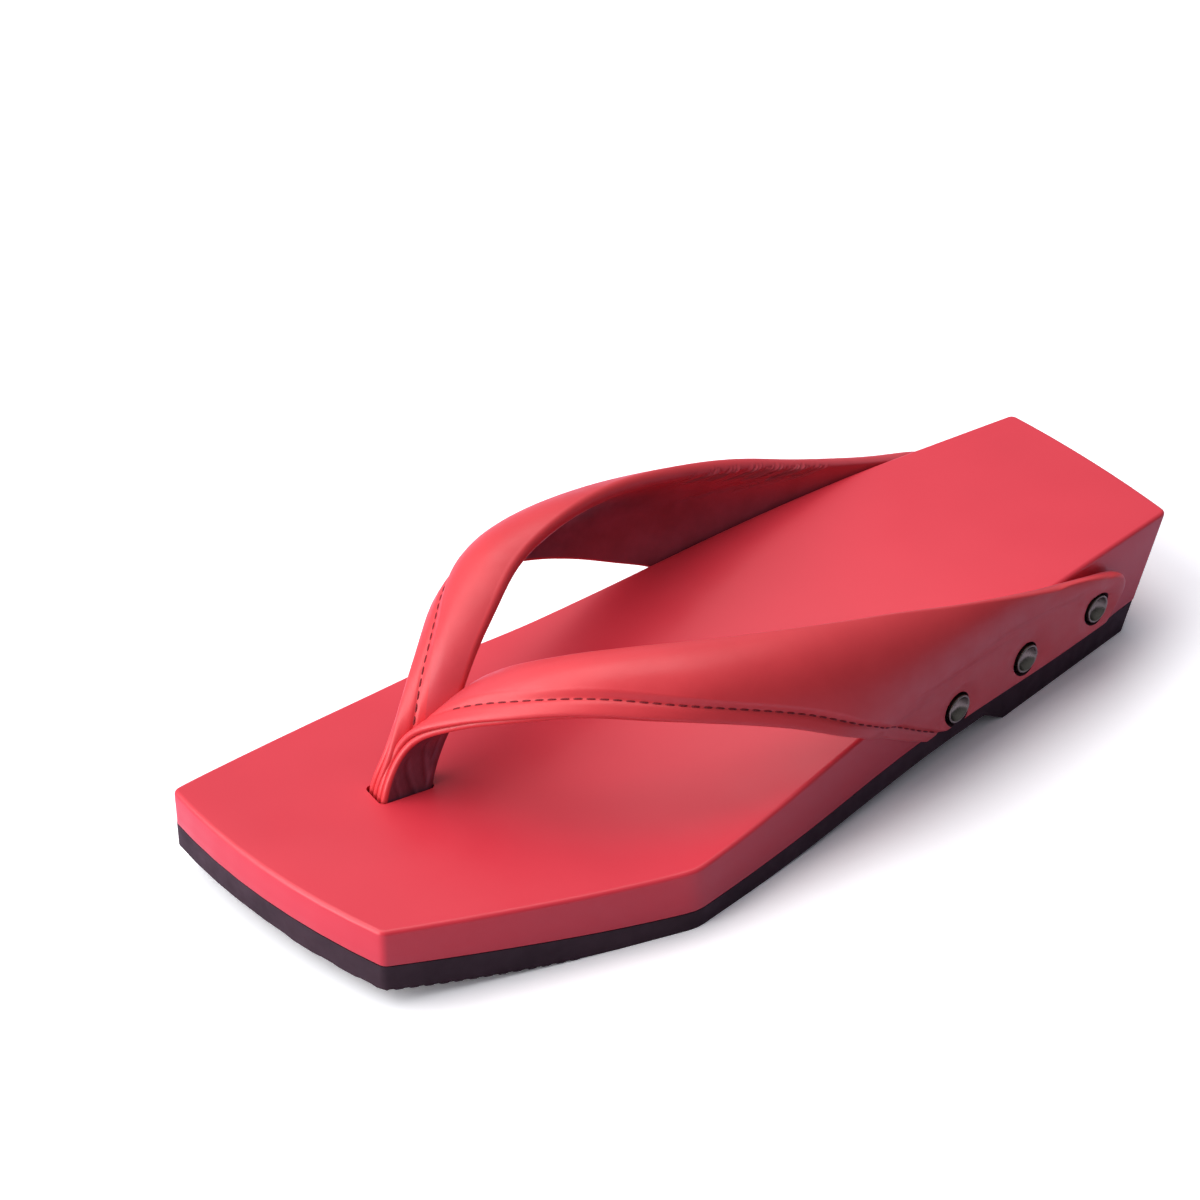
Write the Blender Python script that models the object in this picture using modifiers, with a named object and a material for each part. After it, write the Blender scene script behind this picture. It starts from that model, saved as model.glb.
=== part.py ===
"""Left geta sandal: a lacquered wooden footbed on a rubber outsole, held to the foot by two
padded leather straps that join in a toe post and are riveted to the sides of the wood.

The toe points along -Y, the little-toe side of the foot is at +X, and the floor is at Z = 0.
"""

import math

import bmesh
import bpy
import numpy as np
from mathutils import Matrix, Vector

# Overall sizes, metres
LENGTH = 0.246
BALL_WIDTH = 0.0975
HEEL_HEIGHT = 0.0317

# Place of the toe post, from the toe's tip and from the big-toe side at the ball
POST_FROM_TOE = 0.0362
POST_FROM_SIDE = 0.0348

# Straps
STRAP_REACH = 0.7724 * LENGTH
INSTEP_ROOM = 0.0335
POST_DEPTH = 0.0138
POST_THICKNESS = 0.0068
POST_TURN = math.radians(4.6)
MARGIN_WIDTH = 0.0052
MARGIN_STEP = 0.0011
MARGIN_THICKNESS = 0.0024
MARGIN_BLUNTING = 0.0004
BODY_THICKNESS = 0.0036
PUFF = 0.0011
TAB_THICKNESS = 0.0032
REAR_FOLD = 0.0019
JOIN_OVERLAP = 0.0002
BLEND_SECTIONS = 3

# Rivets
HEAD_RADIUS = 0.0036
HEAD_DOME = 0.0008
SHANK_RADIUS = 0.0015
SHANK_LENGTH = 0.009
HEAD_SEAT = 0.0009
HEAD_HOLE_CLEARANCE = 0.0004

# Edges and fits
TOP_EDGE_ROUND = 0.0011
SHORTEST_EDGE = 0.0007
HEEL_UNDERCUT = 0.0108
UNDERCUT_BLEND = 0.030
LUG_CHAMFER = 0.0075
FIT_GAP = 0.0003
TAB_GAP = 0.00033
SLOT_FLOOR_GAP = 0.0010

# Corners of the outline, in order round the sandal seen from above. `across` is a share of
# BALL_WIDTH from the big-toe side, `along` a share of LENGTH from the toe, `radius` a share of
# BALL_WIDTH, and `bulge` the outward swell of the edge that follows, a share of BALL_WIDTH.
CORNERS = (
    # name, across, along, radius, bulge, edge steps
    ("toe_inner", 0.082, -0.002, 0.022, 0.038, 8),
    ("toe_outer", 0.777, 0.039, 0.026, 0.004, 4),
    ("ball_outer", 1.002, 0.322, 0.100, 0.000, 1),
    ("heel_outer", 0.796, 1.000, 0.022, 0.013, 4),
    ("heel_inner", 0.225, 1.003, 0.022, -0.018, 8),
    ("ball_inner", 0.000, 0.335, 0.900, 0.012, 4),
)

# Side view of the sole. `along` is a share of LENGTH, the heights are shares of HEEL_HEIGHT.
SIDE_PROFILE = (
    # along, footbed top, wood underside, tread
    (0.00, 0.710, 0.420, 0.215),
    (0.08, 0.652, 0.336, 0.112),
    (0.16, 0.600, 0.262, 0.040),
    (0.24, 0.557, 0.200, 0.000),
    (0.32, 0.541, 0.166, 0.000),
    (0.40, 0.587, 0.175, 0.000),
    (0.48, 0.678, 0.214, 0.035),
    (0.56, 0.780, 0.287, 0.095),
    (0.64, 0.873, 0.332, 0.146),
    (0.72, 0.943, 0.306, 0.158),
    (0.80, 0.985, 0.270, 0.158),
    (0.90, 1.000, 0.268, 0.158),
    (1.00, 1.000, 0.268, 0.158),
)
LUG_START = 0.725

# Strap sections over the foot, from the toe post outwards. `out` is a share of the way from the
# post to the sandal's side, `along` a share of STRAP_REACH behind the post, `up` a height over
# the footbed as a share of INSTEP_ROOM, each for the front and the rear edge. `crown` is the
# rise of the middle over the chord between them, a share of INSTEP_ROOM.
OUTER_STRAP = (
    # out, along, up, rear out, rear along, rear up, crown
    (0.052, 0.022, 0.27, 0.070, 0.092, 0.29, 0.00),
    (0.090, 0.044, 0.44, 0.076, 0.117, 0.54, 0.00),
    (0.220, 0.073, 0.61, 0.140, 0.152, 0.76, 0.01),
    (0.400, 0.116, 0.77, 0.295, 0.211, 0.93, 0.03),
    (0.550, 0.174, 0.86, 0.470, 0.289, 0.97, 0.05),
    (0.690, 0.245, 0.82, 0.640, 0.384, 0.90, 0.06),
    (0.820, 0.321, 0.68, 0.770, 0.484, 0.77, 0.06),
    (0.930, 0.395, 0.48, 0.860, 0.589, 0.58, 0.06),
    (1.005, 0.455, 0.26, 0.940, 0.700, 0.35, 0.05),
    (1.020, 0.495, 0.11, 0.990, 0.800, 0.17, 0.02),
)
INNER_STRAP = (
    # out, along, up, rear out, rear along, rear up, crown
    (0.084, 0.022, 0.27, 0.000, 0.092, 0.29, 0.00),
    (0.110, 0.043, 0.43, -0.035, 0.117, 0.54, 0.00),
    (0.195, 0.068, 0.60, 0.010, 0.148, 0.76, 0.01),
    (0.370, 0.111, 0.78, 0.145, 0.200, 0.95, 0.03),
    (0.620, 0.166, 0.88, 0.360, 0.272, 1.08, 0.05),
    (0.790, 0.226, 0.88, 0.530, 0.365, 1.09, 0.06),
    (0.920, 0.290, 0.76, 0.700, 0.465, 0.95, 0.06),
    (1.010, 0.355, 0.58, 0.850, 0.565, 0.72, 0.06),
    (1.045, 0.415, 0.37, 0.950, 0.670, 0.48, 0.05),
    (1.040, 0.475, 0.15, 1.000, 0.780, 0.21, 0.02),
)

# Strap sections flat on the side of the wood. `down` is a share of the way from the footbed's
# top edge to the wood's lower edge, `along` a share of STRAP_REACH behind the post.
TAB_SECTIONS = (
    # front along, front down, rear along, rear down
    (0.520, 0.00, 0.890, 0.00),
    (0.542, 0.22, 0.953, 0.20),
    (0.566, 0.46, 0.987, 0.38),
    (0.592, 0.69, 0.997, 0.58),
    (0.607, 0.80, 0.990, 0.74),
    (0.619, 0.89, 0.966, 0.86),
)

# Rivet centres on the tab, in the same shares
RIVETS = (
    # along, down
    (0.671, 0.635),
    (0.803, 0.575),
    (0.945, 0.547),
)

OUTLINE_ARC_STEP = math.radians(11)
PROFILE_STEPS = 36
STRAP_STEPS = 44
RIVET_STEPS = 20
DRAPE_SHARES = (0.0, 0.2, 0.4, 0.6, 0.8, 1.0)


# Curves and outlines

def spline(params, values, at):
    """Smooth curve through rows of values at rising params, read at one or more places."""
    params = np.asarray(params, float)
    values = np.asarray(values, float)
    at = np.clip(np.atleast_1d(np.asarray(at, float)), params[0], params[-1])
    spans = np.diff(params)
    slopes = np.diff(values, axis=0) / spans.reshape((-1,) + (1,) * (values.ndim - 1))
    tangents = np.empty_like(values)
    tangents[0] = slopes[0]
    tangents[-1] = slopes[-1]
    for i in range(1, len(params) - 1):
        before, after = spans[i - 1], spans[i]
        tangents[i] = (slopes[i - 1] * after + slopes[i] * before) / (before + after)
    index = np.clip(np.searchsorted(params, at, side="right") - 1, 0, len(spans) - 1)
    shape = (-1,) + (1,) * (values.ndim - 1)
    width = spans[index].reshape(shape)
    t = ((at - params[index]) / spans[index]).reshape(shape)
    return (
        values[index] * (2 * t**3 - 3 * t**2 + 1)
        + values[index + 1] * (3 * t**2 - 2 * t**3)
        + tangents[index] * width * (t**3 - 2 * t**2 + t)
        + tangents[index + 1] * width * (t**3 - t**2)
    )


def plan_point(across, along):
    """Place on the plan, with the toe post at the origin."""
    return np.array([across * BALL_WIDTH - POST_FROM_SIDE, along * LENGTH - POST_FROM_TOE])


def swollen_edge(start, end, bulge, steps):
    """Points of an edge that swells outwards, without its last one."""
    way = end - start
    outward = np.array([way[1], -way[0]]) / np.hypot(*way)
    shares = np.arange(steps) / steps
    return [start + way * t + outward * bulge * 4 * t * (1 - t) for t in shares]


def rounded_corner(before, corner, after, radius):
    """Arc that replaces a corner between two neighbouring points."""
    into = (corner - before) / np.hypot(*(corner - before))
    out = (after - corner) / np.hypot(*(after - corner))
    turn = math.atan2(into[0] * out[1] - into[1] * out[0], float(into @ out))
    reach = min(np.hypot(*(corner - before)), np.hypot(*(after - corner))) * 0.95
    radius = min(radius, reach / math.tan(abs(turn) / 2))
    start = corner - into * radius * math.tan(abs(turn) / 2)
    inward = np.array([-into[1], into[0]]) * math.copysign(1, turn)
    centre = start + inward * radius
    steps = max(2, round(abs(turn) / OUTLINE_ARC_STEP))
    points = []
    for i in range(steps + 1):
        angle = turn * i / steps
        spoke = start - centre
        points.append(centre + np.array([
            spoke[0] * math.cos(angle) - spoke[1] * math.sin(angle),
            spoke[0] * math.sin(angle) + spoke[1] * math.cos(angle),
        ]))
    return points


def outline_parts():
    """The outline as a list of (corner name, points of its arc and of the edge after it)."""
    places = [plan_point(across, along) for _, across, along, _, _, _ in CORNERS]
    edges = []
    for i, (_, _, _, _, bulge, steps) in enumerate(CORNERS):
        end = places[(i + 1) % len(places)]
        edges.append(swollen_edge(places[i], end, bulge * BALL_WIDTH, steps))
    parts = []
    for i, (name, _, _, radius, _, _) in enumerate(CORNERS):
        following = edges[i][1:] + [places[(i + 1) % len(places)]]
        arc = rounded_corner(edges[i - 1][-1], places[i], following[0], radius * BALL_WIDTH)
        parts.append((name, arc + edges[i][1:]))
    return parts


def outline():
    return [point for _, points in outline_parts() for point in points]


def side_line(hand):
    """Plan points of the outer (hand 1) or inner (hand -1) side, from toe to heel."""
    parts = dict(outline_parts())
    if hand > 0:
        points = parts["toe_outer"] + parts["ball_outer"] + parts["heel_outer"][:1]
    else:
        points = (parts["heel_inner"] + parts["ball_inner"] + parts["toe_inner"][:1])[::-1]
    line = np.array(points)
    return line[np.argsort(line[:, 1])]


def side_x(y, hand):
    """X of the sandal's side at a distance y behind the post."""
    line = SIDES[hand]
    return np.interp(y, line[:, 1], line[:, 0])


def height(y, column):
    """Height of a line of the side view at a distance y behind the post."""
    table = np.array(SIDE_PROFILE)
    share = (np.asarray(y, float) + POST_FROM_TOE) / LENGTH
    return np.maximum(spline(table[:, 0], table[:, column], share), 0.0) * HEEL_HEIGHT


def footbed_top(y):
    return height(y, 1)


def wood_under(y):
    return height(y, 2)


def tread(y):
    return height(y, 3)


SIDES = {1: side_line(1), -1: side_line(-1)}


# Scene helpers

def material(name, colour, roughness, metallic=0.0):
    made = bpy.data.materials.new(name)
    made.use_nodes = True
    shader = made.node_tree.nodes["Principled BSDF"]
    shader.inputs["Base Color"].default_value = (*colour, 1.0)
    shader.inputs["Roughness"].default_value = roughness
    shader.inputs["Metallic"].default_value = metallic
    return made


def place(name, mesh, collection, parent, finish=None):
    """Put a mesh in the scene under a name."""
    thing = bpy.data.objects.new(name, mesh)
    collection.objects.link(thing)
    thing.parent = parent
    if finish is not None:
        mesh.materials.append(finish)
    return thing


def hide_cutter(thing):
    thing.hide_render = True
    thing.display_type = "WIRE"


def slab_mesh(name, points, thickness, matrix):
    """Flat outline extruded to both sides of its plane, as a closed mesh."""
    curve = bpy.data.curves.new(name, "CURVE")
    curve.dimensions = "2D"
    curve.fill_mode = "BOTH"
    curve.extrude = thickness / 2
    path = curve.splines.new("POLY")
    path.points.add(len(points) - 1)
    for point, (x, y) in zip(path.points, points):
        point.co = (x, y, 0.0, 1.0)
    path.use_cyclic_u = True
    holder = bpy.data.objects.new(name, curve)
    bpy.context.scene.collection.objects.link(holder)
    bpy.context.view_layer.update()
    evaluated = holder.evaluated_get(bpy.context.evaluated_depsgraph_get())
    mesh = bpy.data.meshes.new_from_object(evaluated)
    bpy.data.objects.remove(holder)
    form = bmesh.new()
    form.from_mesh(mesh)
    bmesh.ops.remove_doubles(form, verts=form.verts, dist=1e-6)
    bmesh.ops.dissolve_limit(
        form, angle_limit=math.radians(0.5), verts=form.verts, edges=form.edges)
    bmesh.ops.transform(form, matrix=matrix, verts=form.verts)
    bmesh.ops.recalc_face_normals(form, faces=form.faces)
    form.to_mesh(mesh)
    form.free()
    return mesh


def boolean(thing, cutter, operation, folded=False):
    """Cut or join. Folded meshes are those whose tight bends may cross themselves."""
    modifier = thing.modifiers.new(operation.title() + "_" + cutter.name, "BOOLEAN")
    modifier.operation = operation
    modifier.solver = "EXACT"
    modifier.use_self = folded
    modifier.object = cutter


def apply_modifiers(thing):
    """Replace an object's mesh by what its modifiers make of it."""
    bpy.context.view_layer.update()
    evaluated = thing.evaluated_get(bpy.context.evaluated_depsgraph_get())
    thing.data = bpy.data.meshes.new_from_object(evaluated)
    thing.modifiers.clear()


def merge_close(thing, distance):
    """Merge vertices that lie closer together than a distance."""
    form = bmesh.new()
    form.from_mesh(thing.data)
    bmesh.ops.remove_doubles(form, verts=form.verts, dist=distance)
    form.to_mesh(thing.data)
    form.free()


def smooth(thing, degrees=35):
    thing.data.shade_smooth()
    thing.data.set_sharp_from_angle(angle=math.radians(degrees))


# Sole

def side_view_slab(name, upper_line, lower_line):
    """Side profile of a layer, extruded across the whole width."""
    points = list(upper_line) + list(lower_line)[::-1]
    across = Matrix(((0, 0, 1, 0), (1, 0, 0, 0), (0, 1, 0, 0), (0, 0, 0, 1)))
    return slab_mesh(name, points, BALL_WIDTH * 4, across)


def profile_places():
    """Distances behind the post at which the side view is drawn, past both ends."""
    ends = BALL_WIDTH * 0.2
    inside = np.linspace(0.0, LENGTH, PROFILE_STEPS + 1)
    return np.concatenate([[-ends], inside, [LENGTH + ends]]) - POST_FROM_TOE


def rake_heel(thing):
    """Lean the heel's back forward towards the floor."""
    heel = LENGTH - POST_FROM_TOE
    for vertex in thing.data.vertices:
        near = (vertex.co.y - heel + UNDERCUT_BLEND) / UNDERCUT_BLEND
        near = min(max(near, 0.0), 1.0)
        weight = near * near * (3 - 2 * near)
        vertex.co.y -= HEEL_UNDERCUT * (1 - vertex.co.z / HEEL_HEIGHT) * weight


def round_top_edge(thing):
    """Round the footbed's upper edge all the way round."""
    merge_close(thing, SHORTEST_EDGE)
    form = bmesh.new()
    form.from_mesh(thing.data)
    edges = []
    for edge in form.edges:
        if len(edge.link_faces) != 2 or edge.calc_face_angle(0.0) < math.radians(40):
            continue
        middle = (edge.verts[0].co + edge.verts[1].co) / 2
        if middle.z > (footbed_top(middle.y)[0] + wood_under(middle.y)[0]) / 2:
            level = max(abs(v.normal.z) for v in edge.verts)
            rise = abs((edge.verts[0].co - edge.verts[1].co).normalized().z)
            if level > 0.2 and rise < 0.5:
                edges.append(edge)
    bmesh.ops.bevel(
        form, geom=edges, offset=TOP_EDGE_ROUND, offset_type="OFFSET", segments=3,
        profile=0.5, affect="EDGES", clamp_overlap=False)
    form.to_mesh(thing.data)
    form.free()


def layer(name, side_mesh, collection, cutters, parent, finish):
    """Layer of the sole: the outline extruded upwards, cut to its side view."""
    blank = slab_mesh(name, outline(), HEEL_HEIGHT * 4, Matrix.Identity(4))
    thing = place(name, blank, collection, parent, finish)
    cutter = place(name + "_side", side_mesh, cutters, parent)
    hide_cutter(cutter)
    boolean(thing, cutter, "INTERSECT")
    apply_modifiers(thing)
    rake_heel(thing)
    return thing


def make_footbed(collection, cutters, parent, finish):
    places = profile_places()
    top = [(y, z) for y, z in zip(places, footbed_top(places))]
    under = [(y, z) for y, z in zip(places, wood_under(places))]
    side_mesh = side_view_slab("footbed_side", top, under)
    footbed = layer("footbed", side_mesh, collection, cutters, parent, finish)
    round_top_edge(footbed)
    return footbed


def make_outsole(collection, cutters, parent, finish):
    places = profile_places()
    top = [(y, z - FIT_GAP) for y, z in zip(places, wood_under(places))]
    lug = LUG_START * LENGTH - POST_FROM_TOE
    sheet = [(y, z) for y, z in zip(places, tread(places)) if y < lug]
    lug_line = [(lug, tread(lug)[0]), (lug + LUG_CHAMFER, 0.0), (places[-1], 0.0)]
    side_mesh = side_view_slab("outsole_side", top, sheet + lug_line)
    return layer("outsole", side_mesh, collection, cutters, parent, finish)


def cut_slot(footbed, cutters, parent):
    """Slot through the wood for the toe post."""
    half_wide = POST_THICKNESS / 2 + FIT_GAP
    half_long = POST_DEPTH / 2 + 2 * FIT_GAP
    corner = 2 * FIT_GAP
    points = []
    for cx, cy, first in ((1, 1, 0), (-1, 1, 90), (-1, -1, 180), (1, -1, 270)):
        for step in range(4):
            angle = math.radians(first + 30 * step)
            points.append((
                cx * (half_wide - corner) + corner * math.cos(angle),
                cy * (half_long - corner) + corner * math.sin(angle),
            ))
    turn = Matrix.Rotation(-POST_TURN, 4, "Z")
    centre = Matrix.Translation((*post_centre(0.5), 0.0))
    mesh = slab_mesh("slot", points, HEEL_HEIGHT * 4, centre @ turn)
    cutter = place("slot", mesh, cutters, parent)
    hide_cutter(cutter)
    boolean(footbed, cutter, "DIFFERENCE")


# Straps

def post_centre(share):
    """Plan point between the two straps, from the post's front (0) to its rear (1)."""
    way = np.array([math.sin(POST_TURN), math.cos(POST_TURN)])
    return way * POST_DEPTH * share


def post_section(hand, shares, z_of):
    """Lining points of a strap where it stands in the toe post."""
    sideways = np.array([math.cos(POST_TURN), -math.sin(POST_TURN)]) * POST_THICKNESS / 2
    points = [post_centre(share) + sideways * hand for share in shares]
    return np.array([(x, y, z_of(y)[0]) for x, y in points])


def free_point(hand, out, along, up):
    """Point of a strap over the foot."""
    y = along * STRAP_REACH
    return np.array([
        out * side_x(y, hand),
        y,
        footbed_top(y)[0] + up * INSTEP_ROOM,
    ])


def free_section(hand, row, shares):
    """Lining points between the front and rear edge of a strap over the foot."""
    out, along, up, rear_out, rear_along, rear_up, crown = row
    front = free_point(hand, out, along, up)
    rear = free_point(hand, rear_out, rear_along, rear_up)
    points = front + (rear - front) * np.asarray(shares)[:, None]
    lift = 4 * np.asarray(shares) * (1 - np.asarray(shares)) * crown * INSTEP_ROOM
    outward = np.array([hand * out, 0.0, 1.0])
    return points + lift[:, None] * outward / np.linalg.norm(outward)


def tab_point(hand, along, down, off=0.0):
    """Point at a distance off the side of the wood."""
    y = along * STRAP_REACH
    top, under = footbed_top(y)[0], wood_under(y)[0]
    return np.array([side_x(y, hand) + hand * off, y, top - down * (top - under)])


def tab_section(hand, row, shares):
    """Lining points of a strap on the side of the wood."""
    front_along, front_down, rear_along, rear_down = row
    points = []
    for share in shares:
        along = front_along + (rear_along - front_along) * share
        down = front_down + (rear_down - front_down) * share
        points.append(tab_point(hand, along, down, TAB_GAP))
    return np.array(points)


def strap_rows(hand, shares):
    """Lining points of every section of a strap, from the bottom of the post to the tab."""
    table = OUTER_STRAP if hand > 0 else INNER_STRAP
    rows = [
        post_section(hand, shares, lambda y: wood_under(y) + SLOT_FLOOR_GAP),
        post_section(hand, shares, footbed_top),
    ]
    rows += [free_section(hand, row, shares) for row in table]
    rows += [tab_section(hand, row, shares) for row in TAB_SECTIONS]
    return np.array(rows)


def thickness_rows(hand):
    """Thickness of the front margin and of the body, and the body's puff, for each section."""
    count = len(OUTER_STRAP if hand > 0 else INNER_STRAP)
    post = POST_THICKNESS / 2 + JOIN_OVERLAP / 2
    rows = [(post, post, 0.0)] * 2
    for i in range(count):
        opening = min(max((i - 1) / BLEND_SECTIONS, 0.0), 1.0)
        closing = min(max((i - count) / BLEND_SECTIONS + 1, 0.0), 1.0)
        body = post + (BODY_THICKNESS - post) * opening
        body += (TAB_THICKNESS - body) * closing
        margin = post + (MARGIN_THICKNESS - post) * opening
        rows.append((margin, body, PUFF * opening * (1 - closing)))
    rows += [(MARGIN_THICKNESS, TAB_THICKNESS, 0.0)] * len(TAB_SECTIONS)
    return np.array(rows)


def strap_profile(width, margin, body, puff):
    """Outline of a strap's cross-section: distances from the front edge and over the lining."""
    rear = width - REAR_FOLD
    step = MARGIN_WIDTH + MARGIN_STEP
    loop = [(0.0, 0.0)]
    loop += [(rear * share, 0.0) for share in DRAPE_SHARES[1:-1]]
    loop += [(rear, 0.0)]
    for degrees in (-55, -20, 20, 55):
        angle = math.radians(degrees)
        loop.append((rear + REAR_FOLD * math.cos(angle), body / 2 * (1 + math.sin(angle))))
    loop += [(rear, body)]
    for share in (0.85, 0.6, 0.35, 0.12):
        loop.append((step + (rear - step) * share, body + puff * 4 * share * (1 - share)))
    loop += [(step, body - (body - margin) * 0.15), (MARGIN_WIDTH, margin)]
    loop += [(MARGIN_BLUNTING, margin), (0.0, margin - MARGIN_BLUNTING)]
    return loop


def strap_mesh(name, hand):
    """Closed solid of one strap, lofted through its sections."""
    fine = np.linspace(0.0, 1.0, 9)
    rows = strap_rows(hand, fine)
    reach = np.linalg.norm(np.diff(rows[:, 4], axis=0), axis=1)
    params = np.concatenate([[0.0], np.cumsum(reach)])
    places = np.unique(np.concatenate([np.linspace(0, params[-1], STRAP_STEPS), params[:2]]))
    thickness = spline(params, thickness_rows(hand), places)
    surface = spline(params, rows, places)
    surface = keep_off_wood(surface, hand)
    rings = []
    for i, here in enumerate(surface):
        width = np.linalg.norm(here[-1] - here[0])
        loop = strap_profile(width, *thickness[i])
        before, after = surface[max(i - 1, 0)], surface[min(i + 1, len(surface) - 1)]
        ring = []
        for distance, over in loop:
            share = min(distance / width, 1.0)
            point = spline(fine, here, share)[0]
            along = spline(fine, after, share)[0] - spline(fine, before, share)[0]
            low, high = max(share - 0.05, 0.0), min(share + 0.05, 1.0)
            across = spline(fine, here, high)[0] - spline(fine, here, low)[0]
            normal = np.cross(along, across) * hand
            ring.append(point + normal / np.linalg.norm(normal) * over)
        rings.append(ring)
    return loft_mesh(name, rings)


def keep_off_wood(surface, hand):
    """Push lining points that dip beside the footbed out to its side."""
    held = surface.copy()
    for ring in held:
        for point in ring:
            top = footbed_top(point[1])[0]
            deep = point[2] < top + FIT_GAP and point[2] > wood_under(point[1])[0]
            if deep and point[1] > POST_DEPTH * 2:
                limit = side_x(point[1], hand) + hand * TAB_GAP
                if hand * (limit - point[0]) > 0:
                    point[0] = limit
    return held


def loft_mesh(name, rings):
    """Closed mesh of flat faces through rings of equal length, with a cap over each end."""
    form = bmesh.new()
    loops = [[form.verts.new(point) for point in ring] for ring in rings]
    count = len(loops[0])
    for one, two in zip(loops, loops[1:]):
        for i in range(count):
            j = (i + 1) % count
            form.faces.new((one[i], one[j], two[j], two[i]))
    form.faces.new(loops[0])
    form.faces.new(loops[-1])
    bmesh.ops.recalc_face_normals(form, faces=form.faces)
    bmesh.ops.triangulate(form, faces=form.faces)
    mesh = bpy.data.meshes.new(name)
    form.to_mesh(mesh)
    form.free()
    return mesh


def make_straps(collection, cutters, parent, finish):
    """The outer strap, which becomes the upper, and the inner strap that joins it."""
    outer = place("upper", strap_mesh("upper", 1), collection, parent, finish)
    inner = place("inner_strap", strap_mesh("inner_strap", -1), cutters, parent)
    hide_cutter(inner)
    return {1: outer, -1: inner}


# Rivets

def wall_matrix(hand, along, down, off):
    """Frame on the side of the wood, with Z pointing out of it."""
    y = along * STRAP_REACH
    span = HEAD_RADIUS / 2
    run = Vector((side_x(y + span, hand) - side_x(y - span, hand), 2 * span, 0.0)).normalized()
    out = Vector((run.y, -run.x, 0.0)) * hand
    up = Vector((0.0, 0.0, 1.0))
    frame = Matrix((up.cross(out), up, out)).transposed().to_4x4()
    frame.translation = Vector(tab_point(hand, along, down)) + out * off
    return frame


def turned_mesh(name, profile):
    """Body of revolution about Z, from a profile that runs down its outer side."""
    mesh = bpy.data.meshes.new(name)
    vertices = [(radius, 0.0, z) for radius, z in profile]
    mesh.from_pydata(vertices, [(i, i + 1) for i in range(len(profile) - 1)], [])
    holder = bpy.data.objects.new(name, mesh)
    bpy.context.scene.collection.objects.link(holder)
    screw = holder.modifiers.new("Screw", "SCREW")
    screw.steps = RIVET_STEPS
    screw.render_steps = RIVET_STEPS
    screw.use_merge_vertices = True
    screw.merge_threshold = 0.00001
    apply_modifiers(holder)
    made = holder.data
    bpy.data.objects.remove(holder)
    return made


def rivet_profile():
    """Domed head over a straight shank, from the top of the head to the shank's end."""
    points = [(0.0, HEAD_DOME)]
    for share in (0.4, 0.7, 0.9):
        points.append((HEAD_RADIUS * share, HEAD_DOME * (1 - 0.75 * share**2)))
    points += [(HEAD_RADIUS, HEAD_DOME * 0.15), (HEAD_RADIUS * 0.97, 0.0)]
    points += [(SHANK_RADIUS, 0.0), (SHANK_RADIUS, -SHANK_LENGTH), (0.0, -SHANK_LENGTH)]
    return points


def hole_profile():
    """Seat for a rivet's head over a bore for its shank, as a profile that runs down."""
    seat = FIT_GAP + HEAD_SEAT
    seat_radius = HEAD_RADIUS + HEAD_HOLE_CLEARANCE
    bore_radius = SHANK_RADIUS + FIT_GAP
    points = [(0.0, seat + SHANK_LENGTH), (seat_radius, seat + SHANK_LENGTH), (seat_radius, seat)]
    points += [(bore_radius, seat), (bore_radius, -SHANK_LENGTH), (0.0, -SHANK_LENGTH)]
    return points


def make_rivets(collection, cutters, parent, finish, footbed, straps):
    """Rivets through both tabs, each in a stepped hole of the leather and the wood."""
    rivet_mesh = turned_mesh("rivet", rivet_profile())
    hole_mesh = turned_mesh("rivet_hole", hole_profile())
    off_wall = FIT_GAP + HEAD_SEAT + FIT_GAP
    rivets = []
    for hand, side in ((1, "lateral"), (-1, "medial")):
        for number, (along, down) in enumerate(RIVETS, start=1):
            label = f"{side}_{number}"
            rivet = place("rivet_" + label, rivet_mesh.copy(), collection, parent, finish)
            rivet.matrix_local = wall_matrix(hand, along, down, off_wall)
            smooth(rivet)
            rivets.append(rivet)
            hole = place("hole_" + label, hole_mesh, cutters, parent)
            hole.matrix_local = wall_matrix(hand, along, down, 0.0)
            hide_cutter(hole)
            boolean(straps[hand], hole, "DIFFERENCE", folded=True)
            boolean(footbed, hole, "DIFFERENCE")
    return rivets


# Assembly

def stand_on_origin(root, pieces):
    """Move the sandal so that the middle of its box stands on the origin."""
    bpy.context.view_layer.update()
    graph = bpy.context.evaluated_depsgraph_get()
    corners = []
    for piece in pieces:
        evaluated = piece.evaluated_get(graph)
        corners += [piece.matrix_world @ vertex.co for vertex in evaluated.data.vertices]
    low = [min(corner[i] for corner in corners) for i in range(3)]
    high = [max(corner[i] for corner in corners) for i in range(3)]
    root.location = (-(low[0] + high[0]) / 2, -(low[1] + high[1]) / 2, -low[2])


def main():
    for thing in list(bpy.data.objects):
        bpy.data.objects.remove(thing, do_unlink=True)
    collection = bpy.data.collections.new("geta_sandal")
    cutters = bpy.data.collections.new("cutters")
    for group in (collection, cutters):
        bpy.context.scene.collection.children.link(group)
    root = bpy.data.objects.new("geta_root", None)
    collection.objects.link(root)

    lacquer = material("red_lacquer", (0.72, 0.045, 0.065), 0.38)
    rubber = material("black_rubber", (0.018, 0.017, 0.019), 0.75)
    leather = material("red_leather", (0.74, 0.040, 0.050), 0.48)
    metal = material("dark_nickel", (0.26, 0.25, 0.24), 0.32, 1.0)

    footbed = make_footbed(collection, cutters, root, lacquer)
    outsole = make_outsole(collection, cutters, root, rubber)
    cut_slot(footbed, cutters, root)
    straps = make_straps(collection, cutters, root, leather)
    rivets = make_rivets(collection, cutters, root, metal, footbed, straps)
    upper = straps[1]
    boolean(upper, straps[-1], "UNION", folded=True)
    for piece in (footbed, outsole, upper):
        smooth(piece)
    stand_on_origin(root, [footbed, outsole, upper, *rivets])


main()
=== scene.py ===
import math

import bmesh
import bpy
import numpy as np
from mathutils import Matrix, Vector


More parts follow.
